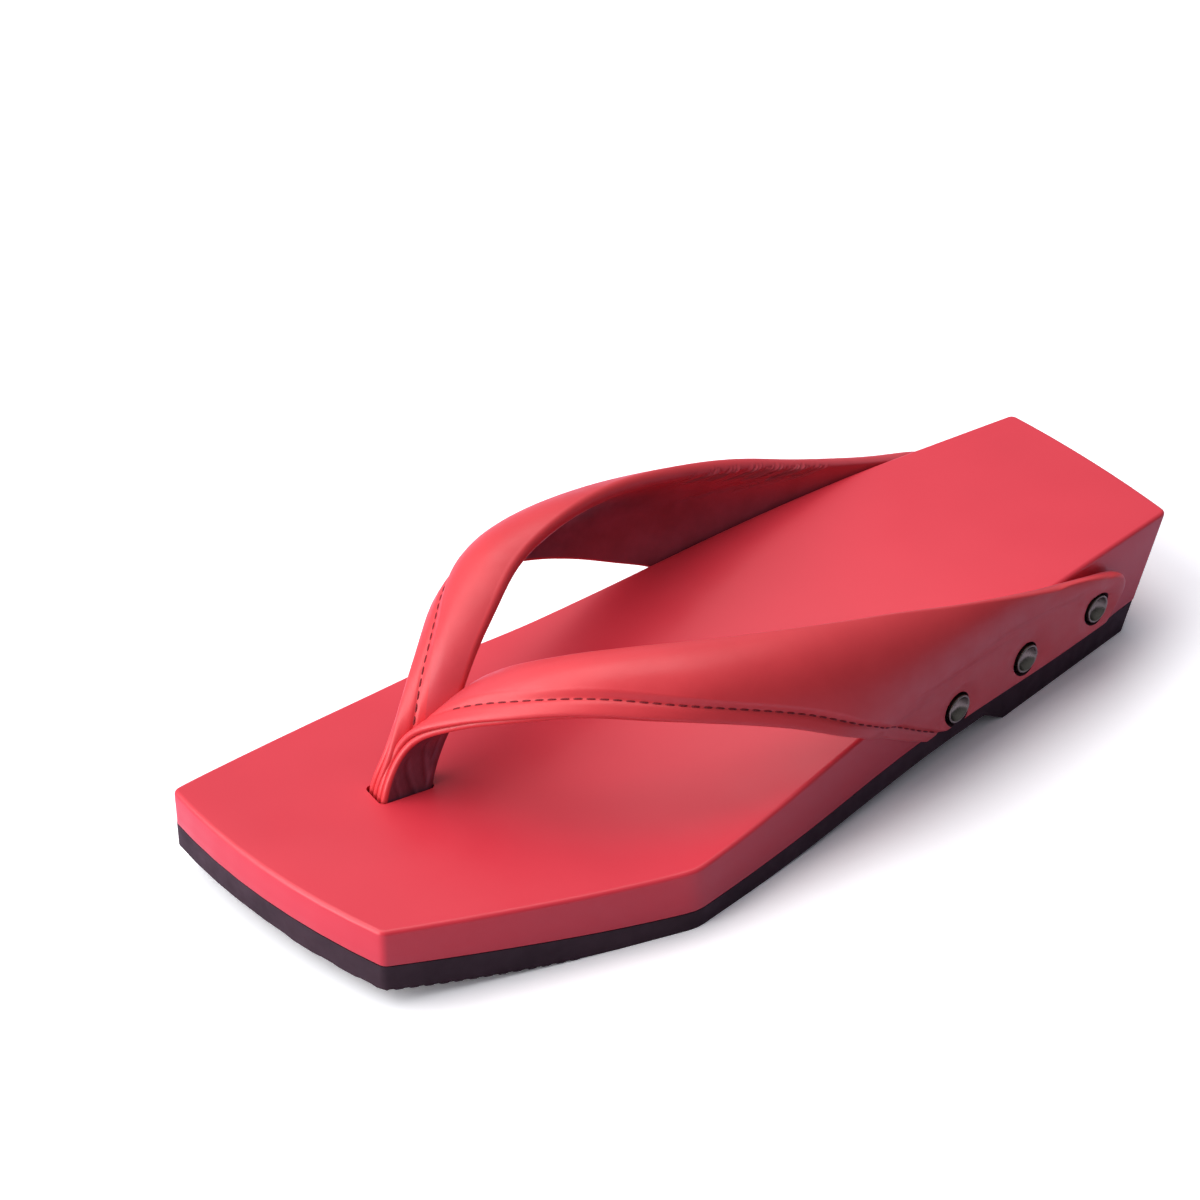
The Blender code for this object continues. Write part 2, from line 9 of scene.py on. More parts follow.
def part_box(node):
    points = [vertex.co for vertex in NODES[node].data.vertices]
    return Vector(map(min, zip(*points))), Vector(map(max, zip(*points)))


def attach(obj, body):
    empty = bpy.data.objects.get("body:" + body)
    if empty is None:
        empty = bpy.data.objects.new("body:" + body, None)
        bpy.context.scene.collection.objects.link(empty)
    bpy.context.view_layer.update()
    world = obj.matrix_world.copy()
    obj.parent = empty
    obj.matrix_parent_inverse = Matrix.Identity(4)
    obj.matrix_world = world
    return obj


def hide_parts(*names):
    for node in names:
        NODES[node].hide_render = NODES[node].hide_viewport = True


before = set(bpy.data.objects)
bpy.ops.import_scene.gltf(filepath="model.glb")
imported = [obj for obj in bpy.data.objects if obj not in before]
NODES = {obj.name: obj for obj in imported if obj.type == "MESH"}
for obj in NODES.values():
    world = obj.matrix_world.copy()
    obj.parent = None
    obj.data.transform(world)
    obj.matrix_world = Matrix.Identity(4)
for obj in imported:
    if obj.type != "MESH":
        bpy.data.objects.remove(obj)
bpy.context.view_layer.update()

# Sizes in metres and tables in shares of them, as in the solids but for the tabs' tighter rear corner
LENGTH = 0.246
BALL_WIDTH = 0.0975
HEEL_HEIGHT = 0.0317
POST_FROM_TOE = 0.0362
POST_FROM_SIDE = 0.0348
STRAP_REACH = 0.7724 * LENGTH
INSTEP_ROOM = 0.0335
POST_DEPTH = 0.0138
POST_THICKNESS = 0.0068
POST_TURN = math.radians(4.6)
MARGIN_WIDTH = 0.0052
MARGIN_STEP = 0.0011
MARGIN_THICKNESS = 0.0024
BODY_THICKNESS = 0.0036
PUFF = 0.0011
TAB_THICKNESS = 0.0032
REAR_FOLD = 0.0019
BLEND_SECTIONS = 3
HEAD_RADIUS = 0.0036
SHANK_RADIUS = 0.0015
HEAD_SEAT = 0.0009
HEAD_HOLE_CLEARANCE = 0.0004
TOP_EDGE_ROUND = 0.0011
HEEL_UNDERCUT = 0.0108
UNDERCUT_BLEND = 0.030
FIT_GAP = 0.0003
TAB_GAP = 0.00033
SLOT_FLOOR_GAP = 0.0010

CORNERS = (
    # name, across, along, radius, bulge
    ("toe_inner", 0.082, -0.002, 0.022, 0.038),
    ("toe_outer", 0.777, 0.039, 0.026, 0.004),
    ("ball_outer", 1.002, 0.322, 0.100, 0.000),
    ("heel_outer", 0.796, 1.000, 0.022, 0.013),
    ("heel_inner", 0.225, 1.003, 0.022, -0.018),
    ("ball_inner", 0.000, 0.335, 0.900, 0.012),
)
SIDE_PROFILE = (
    # along, footbed top, wood underside, tread
    (0.00, 0.710, 0.420, 0.215),
    (0.08, 0.652, 0.336, 0.112),
    (0.16, 0.600, 0.262, 0.040),
    (0.24, 0.557, 0.200, 0.000),
    (0.32, 0.541, 0.166, 0.000),
    (0.40, 0.587, 0.175, 0.000),
    (0.48, 0.678, 0.214, 0.035),
    (0.56, 0.780, 0.287, 0.095),
    (0.64, 0.873, 0.332, 0.146),
    (0.72, 0.943, 0.306, 0.158),
    (0.80, 0.985, 0.270, 0.158),
    (0.90, 1.000, 0.268, 0.158),
    (1.00, 1.000, 0.268, 0.158),
)
OUTER_STRAP = (
    # out, along, up, rear out, rear along, rear up, crown
    (0.052, 0.022, 0.27, 0.070, 0.092, 0.29, 0.00),
    (0.090, 0.044, 0.44, 0.076, 0.117, 0.54, 0.00),
    (0.220, 0.073, 0.61, 0.140, 0.152, 0.76, 0.01),
    (0.400, 0.116, 0.77, 0.295, 0.211, 0.93, 0.03),
    (0.550, 0.174, 0.86, 0.470, 0.289, 0.97, 0.05),
    (0.690, 0.245, 0.82, 0.640, 0.384, 0.90, 0.06),
    (0.820, 0.321, 0.68, 0.770, 0.484, 0.77, 0.06),
    (0.930, 0.395, 0.48, 0.860, 0.589, 0.58, 0.06),
    (1.005, 0.455, 0.26, 0.940, 0.700, 0.35, 0.05),
    (1.020, 0.495, 0.11, 0.990, 0.800, 0.17, 0.02),
)
INNER_STRAP = (
    (0.084, 0.022, 0.27, 0.000, 0.092, 0.29, 0.00),
    (0.110, 0.043, 0.43, -0.035, 0.117, 0.54, 0.00),
    (0.195, 0.068, 0.60, 0.010, 0.148, 0.76, 0.01),
    (0.370, 0.111, 0.78, 0.145, 0.200, 0.95, 0.03),
    (0.620, 0.166, 0.88, 0.360, 0.272, 1.08, 0.05),
    (0.790, 0.226, 0.88, 0.530, 0.365, 1.09, 0.06),
    (0.920, 0.290, 0.76, 0.700, 0.465, 0.95, 0.06),
    (1.010, 0.355, 0.58, 0.850, 0.565, 0.72, 0.06),
    (1.045, 0.415, 0.37, 0.950, 0.670, 0.48, 0.05),
    (1.040, 0.475, 0.15, 1.000, 0.780, 0.21, 0.02),
)
TAB_SECTIONS = (
    # front along, front down, rear along, rear down
    (0.520, 0.00, 0.890, 0.00),
    (0.542, 0.22, 0.982, 0.20),
    (0.566, 0.46, 1.002, 0.38),
    (0.592, 0.69, 1.000, 0.58),
    (0.607, 0.80, 0.990, 0.74),
    (0.619, 0.89, 0.966, 0.86),
)
RIVETS = ((0.671, 0.635), (0.803, 0.575), (0.945, 0.547))

# Fine detail in metres, the outer strap under 1 and the inner one under -1 where they differ
STITCH_LINE = 0.0046
STITCH_PITCH = 0.0029
STITCH_LENGTH = 0.0022
STITCH_RADIUS = 0.00018
STITCH_GROOVE = 0.00034
STITCH_STARTS = {1: 0.028, -1: 0.008}
STITCH_END_GAP = 0.002
STEP_FOOT = 0.0006
MARGIN_ROLLS = {1: (0.0006, 0.0075), -1: (0.0027, 0.0098)}
END_ROUND = 0.0012
CORNER_LIFT = 0.0013
GATHER_PITCH = 0.0014
GATHER_DEPTH = 0.00044
GATHER_RUN = 0.27
DIP_DEPTH = 0.0008
DIP_REACH = 0.0080
DIP_END = (0.001, 0.006)
WOOD_REACH = 0.003
WOOD_LEAN = 1.2
HOLE_RADIUS = 0.0043
HOLE_PULL = (-0.0004, 0.0002)
HEAD_OUT = 0.0007
HEAD_RIM = 0.0010
HEAD_BOWL = 0.0019
SHANK_DEPTH = 0.006
RIB_PITCH = 0.0032
RIB_HEIGHT = 0.00028
UNDER_EDGE_ROUND = 0.0002
RUBBER_EDGE_ROUND = 0.00022
SLOT_CORNER = 0.0014
FIRST_BLUR = 0.0022
LAST_BLUR = 0.0020
THICKNESS_BLUR = 0.004

# Shares and counts
SLOT_CENTRE = 0.48
RIB_REACH = 0.22
THREAD_SINK = 0.75
BOWL_SHARE = 0.84
RIM_ROLL = 0.08
COLUMN_BLUR = 1.1
HEIGHT_BLUR = 8.0
ACROSS_COUNT = 64
ALONG_COUNT = 150
STRAP_STEPS = 560
STITCH_SIDES = 8
HOLE_SIDES = 56
HEAD_SIDES = 48
SHARES = np.linspace(0.0, 1.0, 33)

# Zones of a strap's cross-section: 0 to 1 across the padded body, then the rear fold and the lining
NO_ZONE = -1.0
FOLD_ZONE = 1.2
UNDER_ZONE = 2.0

GROOVE_SECTION = (
    # distance from the front edge, share of the groove's depth
    (0.0016, 0.00), (0.0027, 0.00), (0.0036, 0.10), (0.0041, 0.55),
    (0.0044, 0.95), (0.0046, 1.00), (0.0048, 0.90), (0.0051, 0.45),
)
THREAD_SHAPE = (
    # share of the stitch's length, share of its radius
    (0.0, 0.0), (0.05, 0.7), (0.2, 1.0), (0.5, 1.0), (0.8, 1.0), (0.95, 0.7), (1.0, 0.0),
)

# Creases listed as rows: share along the strap and across it at one end, the same at the other end,
# half width and depth in metres
CREASE_SCALE = np.array([0.25, 0.04])
TOP_CREASES = {
    1: [
        (0.80, 0.20, 0.93, 0.55, 0.0022, 0.00022),
        (0.84, 0.60, 0.95, 0.85, 0.0018, 0.00020),
    ],
    -1: [
        (0.80, 0.30, 0.92, 0.60, 0.0020, 0.00022),
    ],
}
UNDER_CREASES = {
    1: [
        (0.045, 0.70, 0.100, 0.15, 0.0011, 0.00026),
        (0.060, 0.95, 0.120, 0.45, 0.0012, 0.00030),
        (0.050, 0.30, 0.075, 0.05, 0.0008, 0.00014),
        (0.090, 0.90, 0.135, 0.80, 0.0010, 0.00016),
        (0.520, 0.70, 0.580, 0.95, 0.0006, 0.00016),
        (0.560, 0.66, 0.620, 0.93, 0.0006, 0.00016),
    ],
    -1: [
        (0.640, 0.84, 0.652, 0.98, 0.00050, 0.00034),
        (0.655, 0.86, 0.668, 0.98, 0.00045, 0.00034),
        (0.695, 0.58, 0.722, 0.82, 0.00055, 0.00030),
        (0.708, 0.64, 0.738, 0.90, 0.00050, 0.00042),
        (0.722, 0.70, 0.752, 0.94, 0.00045, 0.00042),
        (0.738, 0.72, 0.770, 0.95, 0.00050, 0.00040),
        (0.756, 0.80, 0.786, 0.96, 0.00045, 0.00036),
    ],
}

# The floor as the eye, matt surfaces and glossy surfaces get it, the sky and the camera
FLOOR_SEEN = (1.3, 1.3, 1.3)
FLOOR_THROWN = (0.34, 0.33, 0.38, 1.0)
FLOOR_MIRRORED = (0.76, 0.65, 0.86, 1.0)
SKY_COLOUR = (0.97, 0.97, 1.10, 1.0)
SKY_SIDE = (-0.78, -0.25, 0.57)
CAMERA_PLACE = (0.45981, -0.29779, 0.47363)
CAMERA_YAW = math.radians(-51.768)
CAMERA_PITCH = math.radians(36.217)
CAMERA_ROLL = math.radians(0.185)
CAMERA_LENS = 94.308


# Curves and outlines

def spline(params, values, at):
    """Smooth curve through rows of values at rising params, read at one or more places."""
    params = np.asarray(params, float)
    values = np.asarray(values, float)
    at = np.clip(np.atleast_1d(np.asarray(at, float)), params[0], params[-1])
    spans = np.diff(params)
    slopes = np.diff(values, axis=0) / spans.reshape((-1,) + (1,) * (values.ndim - 1))
    tangents = np.empty_like(values)
    tangents[0] = slopes[0]
    tangents[-1] = slopes[-1]
    for i in range(1, len(params) - 1):
        before, after = spans[i - 1], spans[i]
        tangents[i] = (slopes[i - 1] * after + slopes[i] * before) / (before + after)
    index = np.clip(np.searchsorted(params, at, side="right") - 1, 0, len(spans) - 1)
    shape = (-1,) + (1,) * (values.ndim - 1)
    width = spans[index].reshape(shape)
    t = ((at - params[index]) / spans[index]).reshape(shape)
    return (
        values[index] * (2 * t**3 - 3 * t**2 + 1)
        + values[index + 1] * (3 * t**2 - 2 * t**3)
        + tangents[index] * width * (t**3 - 2 * t**2 + t)
        + tangents[index + 1] * width * (t**3 - t**2)
    )


def blur(values, sigma):
    """Gaussian blur along the first axis, with the ends held in place."""
    if sigma <= 0:
        return values
    reach = int(math.ceil(sigma * 3))
    kernel = np.exp(-0.5 * (np.arange(-reach, reach + 1) / sigma) ** 2)
    kernel /= kernel.sum()
    head = 2 * values[:1] - values[1:reach + 1][::-1]
    tail = 2 * values[-1:] - values[-reach - 1:-1][::-1]
    padded = np.concatenate([head, values, tail])
    out = np.zeros_like(values)
    for k, weight in enumerate(kernel):
        out += weight * padded[k:k + len(values)]
    return out


def smoothstep(low, high, x):
    t = np.clip((np.asarray(x, float) - low) / (high - low), 0.0, 1.0)
    return t * t * (3 - 2 * t)


def plan_point(across, along):
    return np.array([across * BALL_WIDTH - POST_FROM_SIDE, along * LENGTH - POST_FROM_TOE])


def swollen_edge(start, end, bulge, steps):
    way = end - start
    outward = np.array([way[1], -way[0]]) / np.hypot(*way)
    shares = np.arange(steps) / steps
    return [start + way * t + outward * bulge * 4 * t * (1 - t) for t in shares]


def rounded_corner(before, corner, after, radius):
    into = (corner - before) / np.hypot(*(corner - before))
    out = (after - corner) / np.hypot(*(after - corner))
    turn = math.atan2(into[0] * out[1] - into[1] * out[0], float(into @ out))
    reach = min(np.hypot(*(corner - before)), np.hypot(*(after - corner))) * 0.95
    radius = min(radius, reach / math.tan(abs(turn) / 2))
    start = corner - into * radius * math.tan(abs(turn) / 2)
    centre = start + np.array([-into[1], into[0]]) * math.copysign(radius, turn)
    steps = max(6, round(abs(turn) / math.radians(5)))
    points = []
    for i in range(steps + 1):
        c, s = math.cos(turn * i / steps), math.sin(turn * i / steps)
        spoke = start - centre
        points.append(centre + np.array([spoke[0] * c - spoke[1] * s, spoke[0] * s + spoke[1] * c]))
    return points


def outline_parts():
    """The outline as a list of (corner name, points of its arc, points of the edge after it)."""
    places = [plan_point(corner[1], corner[2]) for corner in CORNERS]
    edges = []
    for i, corner in enumerate(CORNERS):
        steps = 8 if corner[4] else 1
        end = places[(i + 1) % len(places)]
        edges.append(swollen_edge(places[i], end, corner[4] * BALL_WIDTH, steps))
    parts = []
    for i, corner in enumerate(CORNERS):
        following = edges[i][1:] + [places[(i + 1) % len(places)]]
        arc = rounded_corner(edges[i - 1][-1], places[i], following[0], corner[3] * BALL_WIDTH)
        parts.append((corner[0], arc, edges[i][1:]))
    return parts


PARTS = outline_parts()
OUTLINE = np.array([point for _, arc, edge in PARTS for point in arc + edge])


def side_line(hand):
    """Plan points of the outer (hand 1) or inner (hand -1) side, from toe to heel."""
    parts = {name: arc + edge for name, arc, edge in PARTS}
    if hand > 0:
        points = parts["toe_outer"] + parts["ball_outer"] + parts["heel_outer"][:1]
    else:
        points = parts["heel_inner"] + parts["ball_inner"] + parts["toe_inner"][:1]
    line = np.array(points)
    return line[np.argsort(line[:, 1])]


SIDES = {1: side_line(1), -1: side_line(-1)}
FINE_Y = np.linspace(-0.03, LENGTH + 0.03, 600) - POST_FROM_TOE
TABLE = np.array(SIDE_PROFILE)
HEIGHTS = {
    column: blur(
        np.maximum(spline(TABLE[:, 0], TABLE[:, column], (FINE_Y + POST_FROM_TOE) / LENGTH), 0)
        * HEEL_HEIGHT, HEIGHT_BLUR)
    for column in (1, 2, 3)
}


def side_x(y, hand):
    return np.interp(y, SIDES[hand][:, 1], SIDES[hand][:, 0])


def footbed_top(y):
    return np.interp(y, FINE_Y, HEIGHTS[1])


def wood_under(y):
    return np.interp(y, FINE_Y, HEIGHTS[2])


def tread(y):
    return np.interp(y, FINE_Y, HEIGHTS[3])


# Move from the drawing frame, whose origin is the toe post, to the frame of the solids
footbed_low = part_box("footbed")[0]
outline_low = OUTLINE.min(axis=0)
SHIFT = Vector((footbed_low[0] - outline_low[0], footbed_low[1] - outline_low[1], 0.0))


# Scene helpers

def finish_piece(name, mesh, replaced, materials, sharp=None):
    """Put a mesh of the drawing frame into the scene as a piece that rides on the sandal."""
    mesh.transform(Matrix.Translation(SHIFT))
    thing = bpy.data.objects.new(name, mesh)
    bpy.context.scene.collection.objects.link(thing)
    for made in materials:
        mesh.materials.append(made)
    mesh.shade_smooth()
    if sharp is not None:
        mesh.set_sharp_from_angle(angle=math.radians(sharp))
    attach(thing, "root")
    if replaced:
        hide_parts(*replaced)
    return thing


def mesh_of(name, form):
    bmesh.ops.recalc_face_normals(form, faces=form.faces)
    mesh = bpy.data.meshes.new(name)
    form.to_mesh(mesh)
    form.free()
    return mesh


def boolean_cut(mesh, cutter_mesh):
    """The mesh after an exact cut by another one."""
    one = bpy.data.objects.new("cut_body", mesh)
    two = bpy.data.objects.new("cut_tool", cutter_mesh)
    for thing in (one, two):
        bpy.context.scene.collection.objects.link(thing)
    modifier = one.modifiers.new("cut", "BOOLEAN")
    modifier.operation = "DIFFERENCE"
    modifier.solver = "EXACT"
    modifier.object = two
    bpy.context.view_layer.update()
    made = bpy.data.meshes.new_from_object(one.evaluated_get(bpy.context.evaluated_depsgraph_get()))
    for thing in (one, two):
        bpy.data.objects.remove(thing)
    return made


def add_ring(form, points):
    return [form.verts.new(p) for p in points]


def bridge(form, one, two):
    """Faces between two rings of vertices, either of which may be a single tip."""
    if len(one) == 1 or len(two) == 1:
        tip, loop = (one[0], two) if len(one) == 1 else (two[0], one)
        for i in range(len(loop)):
            form.faces.new((tip, loop[i], loop[(i + 1) % len(loop)]))
        return
    count = len(one)
    for i in range(count):
        j = (i + 1) % count
        form.faces.new((one[i], one[j], two[j], two[i]))


def skin(form, rings):
    for one, two in zip(rings, rings[1:]):
        bridge(form, one, two)


def turns(count):
    return [2 * math.pi * k / count for k in range(count)]


def prism_mesh(name, points, low, high, matrix):
    """Upright closed body over a plan outline."""
    form = bmesh.new()
    lower = add_ring(form, [matrix @ Vector((x, y, low)) for x, y in points])
    upper = add_ring(form, [matrix @ Vector((x, y, high)) for x, y in points])
    bridge(form, lower, upper)
    form.faces.new(lower[::-1])
    form.faces.new(upper)
    return mesh_of(name, form)


def turned_mesh(name, profile, steps, matrices):
    """Closed bodies of revolution about Z, one for each matrix, from (radius, z) pairs."""
    form = bmesh.new()
    angles = turns(steps)
    for matrix in matrices:
        skin(form, [
            add_ring(form, [
                matrix @ Vector((radius * math.cos(a), radius * math.sin(a), z))
                for a in (angles if radius else angles[:1])])
            for radius, z in profile])
    return mesh_of(name, form)


# Materials

def new_material(name, colour, roughness, metallic=0.0, coat=0.0, coat_roughness=0.2, specular=0.5):
    made = bpy.data.materials.new(name)
    made.use_nodes = True
    shader = made.node_tree.nodes["Principled BSDF"]
    shader.inputs["Base Color"].default_value = (*colour, 1.0)
    shader.inputs["Roughness"].default_value = roughness
    shader.inputs["Metallic"].default_value = metallic
    shader.inputs["Coat Weight"].default_value = coat
    shader.inputs["Coat Roughness"].default_value = coat_roughness
    shader.inputs["Specular IOR Level"].default_value = specular
    return made


def noise(tree, coords, scale, detail=2.0, roughness=0.5):
    node = tree.nodes.new("ShaderNodeTexNoise")
    node.inputs["Scale"].default_value = scale
    node.inputs["Detail"].default_value = detail
    node.inputs["Roughness"].default_value = roughness
    tree.links.new(coords, node.inputs["Vector"])
    return node.outputs["Fac"]


def ramp(tree, factor, stops):
    """Colour ramp on a factor, from (position, colour) pairs."""
    node = tree.nodes.new("ShaderNodeValToRGB")
    elements = node.color_ramp.elements
    while len(elements) > 1:
        elements.remove(elements[-1])
    elements[0].position = stops[0][0]
    elements[0].color = (*stops[0][1], 1.0)
    for position, colour in stops[1:]:
        elements.new(position).color = (*colour, 1.0)
    tree.links.new(factor, node.inputs["Fac"])
    return node.outputs["Color"]


def spread(tree, factor, low, high, source=(0.3, 0.7)):
    """Map a factor from one range onto another."""
    node = tree.nodes.new("ShaderNodeMapRange")
    for socket, value in zip(("From Min", "From Max", "To Min", "To Max"), (*source, low, high)):
        node.inputs[socket].default_value = value
    tree.links.new(factor, node.inputs["Value"])
    return node.outputs["Result"]


def bump(tree, heights, shader):
    """Chain of bumps from (factor, strength, distance) triples."""
    normal = None
    for factor, strength, distance in heights:
        node = tree.nodes.new("ShaderNodeBump")
        node.inputs["Strength"].default_value = strength
        node.inputs["Distance"].default_value = distance
        tree.links.new(factor, node.inputs["Height"])
        if normal is not None:
            tree.links.new(normal, node.inputs["Normal"])
        normal = node.outputs["Normal"]
    tree.links.new(normal, shader.inputs["Normal"])


def workings(made):
    """A material's node tree, its shader and its object coordinates."""
    tree = made.node_tree
    return tree, tree.nodes["Principled BSDF"], tree.nodes.new("ShaderNodeTexCoord").outputs["Object"]


def shade(colour, factor):
    return tuple(c * factor for c in colour)


def lacquer_material():
    base = (0.70, 0.034, 0.054)
    made = new_material("red_lacquer", base, 0.42, coat=0.10, coat_roughness=0.36, specular=0.45)
    tree, shader, coords = workings(made)
    broad = noise(tree, coords, 14.0, 3.0)
    colour = ramp(tree, broad, [(0.30, shade(base, 0.93)), (0.70, (0.73, 0.038, 0.060))])
    tree.links.new(colour, shader.inputs["Base Color"])
    tree.links.new(spread(tree, noise(tree, coords, 60.0, 4.0), 0.32, 0.42), shader.inputs["Roughness"])
    fine = noise(tree, coords, 900.0, 2.0)
    bump(tree, [(broad, 0.05, 0.0012), (fine, 0.04, 0.00006)], shader)
    return made


def leather_material(name, base, light, lining, roughness, grain, specular):
    """Leather whose colour turns to a second colour where the mesh says so; on the straps that colour is
    painted shade with a purplish painted sheen on the underside and rear fold.
    """
    made = new_material(name, base, roughness, coat=0.12, coat_roughness=0.32, specular=specular)
    tree, shader, coords = workings(made)
    broad = noise(tree, coords, 35.0, 4.0)
    colour = ramp(tree, broad, [(0.28, shade(base, 0.92)), (0.72, light)])
    blotches = noise(tree, coords, 120.0, 4.0, 0.6)
    under = ramp(tree, blotches, [(0.30, shade(lining, 0.75)), (0.70, shade(lining, 1.3))])
    # The mesh's "lining" attribute says how far each point takes the painted underside shade and sheen.
    painted_shade = tree.nodes.new("ShaderNodeAttribute")
    painted_shade.attribute_name = "lining"
    mix = tree.nodes.new("ShaderNodeMixRGB")
    tree.links.new(painted_shade.outputs["Fac"], mix.inputs["Fac"])
    tree.links.new(colour, mix.inputs["Color1"])
    tree.links.new(under, mix.inputs["Color2"])
    tree.links.new(mix.outputs["Color"], shader.inputs["Base Color"])
    tree.links.new(
        spread(tree, noise(tree, coords, 220.0, 3.0), roughness - 0.05, roughness + 0.06),
        shader.inputs["Roughness"])
    cells = tree.nodes.new("ShaderNodeTexVoronoi")
    cells.feature = "DISTANCE_TO_EDGE"
    cells.inputs["Scale"].default_value = 1500.0
    tree.links.new(coords, cells.inputs["Vector"])
    pores = noise(tree, coords, 2600.0, 3.0)
    creases = noise(tree, coords, 160.0, 5.0, 0.62)
    bump(tree, [
        (creases, grain * 0.7, 0.0006),
        (cells.outputs["Distance"], grain, 0.00006),
        (pores, grain * 0.7, 0.00003),
    ], shader)
    return made


def rubber_material():
    base = (0.046, 0.026, 0.034)
    made = new_material("black_rubber", base, 0.6, specular=0.14)
    tree, shader, coords = workings(made)
    colour = ramp(tree, noise(tree, coords, 90.0, 4.0), [(0.3, shade(base, 0.8)), (0.7, shade(base, 1.2))])
    tree.links.new(colour, shader.inputs["Base Color"])
    tree.links.new(spread(tree, noise(tree, coords, 300.0, 3.0), 0.52, 0.70), shader.inputs["Roughness"])
    bump(tree, [(noise(tree, coords, 1800.0, 3.0), 0.25, 0.00008)], shader)
    return made


def thread_material():
    # The thread's dark maroon is painted shade of the stitch holes it sinks into.
    base = (0.20, 0.013, 0.020)
    made = new_material("thread", base, 0.7, specular=0.3)
    tree, shader, coords = workings(made)
    twist = tree.nodes.new("ShaderNodeTexWave")
    twist.inputs["Scale"].default_value = 900.0
    twist.inputs["Distortion"].default_value = 1.0
    tree.links.new(coords, twist.inputs["Vector"])
    colour = ramp(tree, twist.outputs["Fac"], [(0.2, shade(base, 0.7)), (0.8, shade(base, 1.25))])
    tree.links.new(colour, shader.inputs["Base Color"])
    bump(tree, [(twist.outputs["Fac"], 0.4, 0.00008)], shader)
    return made


def metal_material():
    base = (0.20, 0.19, 0.155)
    made = new_material("dark_nickel", base, 0.28, metallic=1.0)
    tree, shader, coords = workings(made)
    rough = noise(tree, coords, 700.0, 4.0)
    tree.links.new(spread(tree, rough, 0.24, 0.36), shader.inputs["Roughness"])
    colour = ramp(tree, noise(tree, coords, 260.0, 3.0), [(0.3, shade(base, 0.8)), (0.7, shade(base, 1.1))])
    tree.links.new(colour, shader.inputs["Base Color"])
    bump(tree, [(rough, 0.1, 0.00005)], shader)
    return made


LACQUER = lacquer_material()
# The third colour, the lining's, is painted shade with a purplish painted sheen for the straps' underside
# and rear fold.
LEATHER = leather_material(
    "red_leather", (0.68, 0.040, 0.050), (0.73, 0.049, 0.059), (0.185, 0.050, 0.078), 0.42, 0.22, 0.42)
# Near-black painted shade for the walls and seats of the rivet holes.
HOLE_SHADE = leather_material(
    "painted_hole_shade", (0.045, 0.014, 0.018), (0.06, 0.018, 0.022), (0.05, 0.015, 0.02), 0.7, 0.3, 0.3)
RUBBER = rubber_material()
THREAD = thread_material()
METAL = metal_material()


# Footbed

def resample(points, count):
    """Points along a line, packed towards its ends."""
    points = np.asarray(points)
    reach = np.concatenate([[0], np.cumsum(np.linalg.norm(np.diff(points, axis=0), axis=1))])
    t = np.linspace(0, 1, count)
    t = 0.85 * (0.5 - 0.5 * np.cos(math.pi * t)) + 0.15 * t
    at = t * reach[-1]
    return np.stack([np.interp(at, reach, points[:, k]) for k in range(2)], axis=1)


def four_sides(across_count, along_count):
    """The outline's toe, outer, heel and inner sides, in order round it, each ending in mid corner."""
    arcs = {name: arc for name, arc, _ in PARTS}
    edges = {name: edge for name, _, edge in PARTS}
    half = {name: len(arc) // 2 for name, arc in arcs.items()}

    def run(*names):
        first, last = names[0], names[-1]
        points = arcs[first][half[first]:] + edges[first]
        for name in names[1:-1]:
            points += arcs[name] + edges[name]
        return points + arcs[last][:half[last] + 1]

    return [
        resample(run("toe_inner", "toe_outer"), across_count),
        resample(run("toe_outer", "ball_outer", "heel_outer"), along_count),
        resample(run("heel_outer", "heel_inner"), across_count),
        resample(run("heel_inner", "ball_inner", "toe_inner"), along_count),
    ]


def patch(sides):
    """Grid of plan points inside four sides, rows from toe to heel."""
    toe, outer, heel, inner = sides
    heel, inner = heel[::-1], inner[::-1]
    u = np.linalg.norm(toe - toe[0], axis=1) / np.linalg.norm(toe[-1] - toe[0])
    v = np.linalg.norm(inner - inner[0], axis=1) / np.linalg.norm(inner[-1] - inner[0])
    u, v = u[None, :, None], v[:, None, None]
    ruled_v = toe[None] * (1 - v) + heel[None] * v
    ruled_u = inner[:, None] * (1 - u) + outer[:, None] * u
    corners = (
        toe[0] * (1 - u) * (1 - v) + toe[-1] * u * (1 - v)
        + heel[0] * (1 - u) * v + heel[-1] * u * v
    )
    return ruled_v + ruled_u - corners


def rake_heel(points):
    """Lean the heel's back forward towards the floor."""
    heel = LENGTH - POST_FROM_TOE
    weight = smoothstep(heel - UNDERCUT_BLEND, heel, points[..., 1])
    points[..., 1] -= HEEL_UNDERCUT * (1 - points[..., 2] / HEEL_HEIGHT) * weight
    return points


def loop_of(sides):
    return np.concatenate([side[:-1] for side in sides])


def inset(loop, distance):
    """A closed plan loop moved inwards."""
    way = np.roll(loop, -1, axis=0) - np.roll(loop, 1, axis=0)
    way /= np.linalg.norm(way, axis=1)[:, None]
    return loop + np.stack([-way[:, 1], way[:, 0]], axis=1) * distance


def split_loop(loop, counts):
    sides, start = [], 0
    closed = np.concatenate([loop, loop[:1]])
    for count in counts:
        sides.append(closed[start:start + count])
        start += count - 1
    return sides


def with_z(plan, z):
    return np.concatenate([plan, np.asarray(z)[..., None]], axis=-1)


def fill_grid(form, grid, ring):
    """Faces over a grid of points whose border is a ring of vertices already made."""
    rows, columns = grid.shape[:2]
    around = [(0, i) for i in range(columns)]
    around += [(i, columns - 1) for i in range(1, rows)]
    around += [(rows - 1, i) for i in range(columns - 2, -1, -1)]
    around += [(i, 0) for i in range(rows - 2, 0, -1)]
    border = dict(zip(around, ring))
    cells = [
        [border.get((i, j)) or form.verts.new(grid[i, j]) for j in range(columns)]
        for i in range(rows)
    ]
    for i in range(rows - 1):
        for j in range(columns - 1):
            form.faces.new((cells[i][j], cells[i][j + 1], cells[i + 1][j + 1], cells[i + 1][j]))


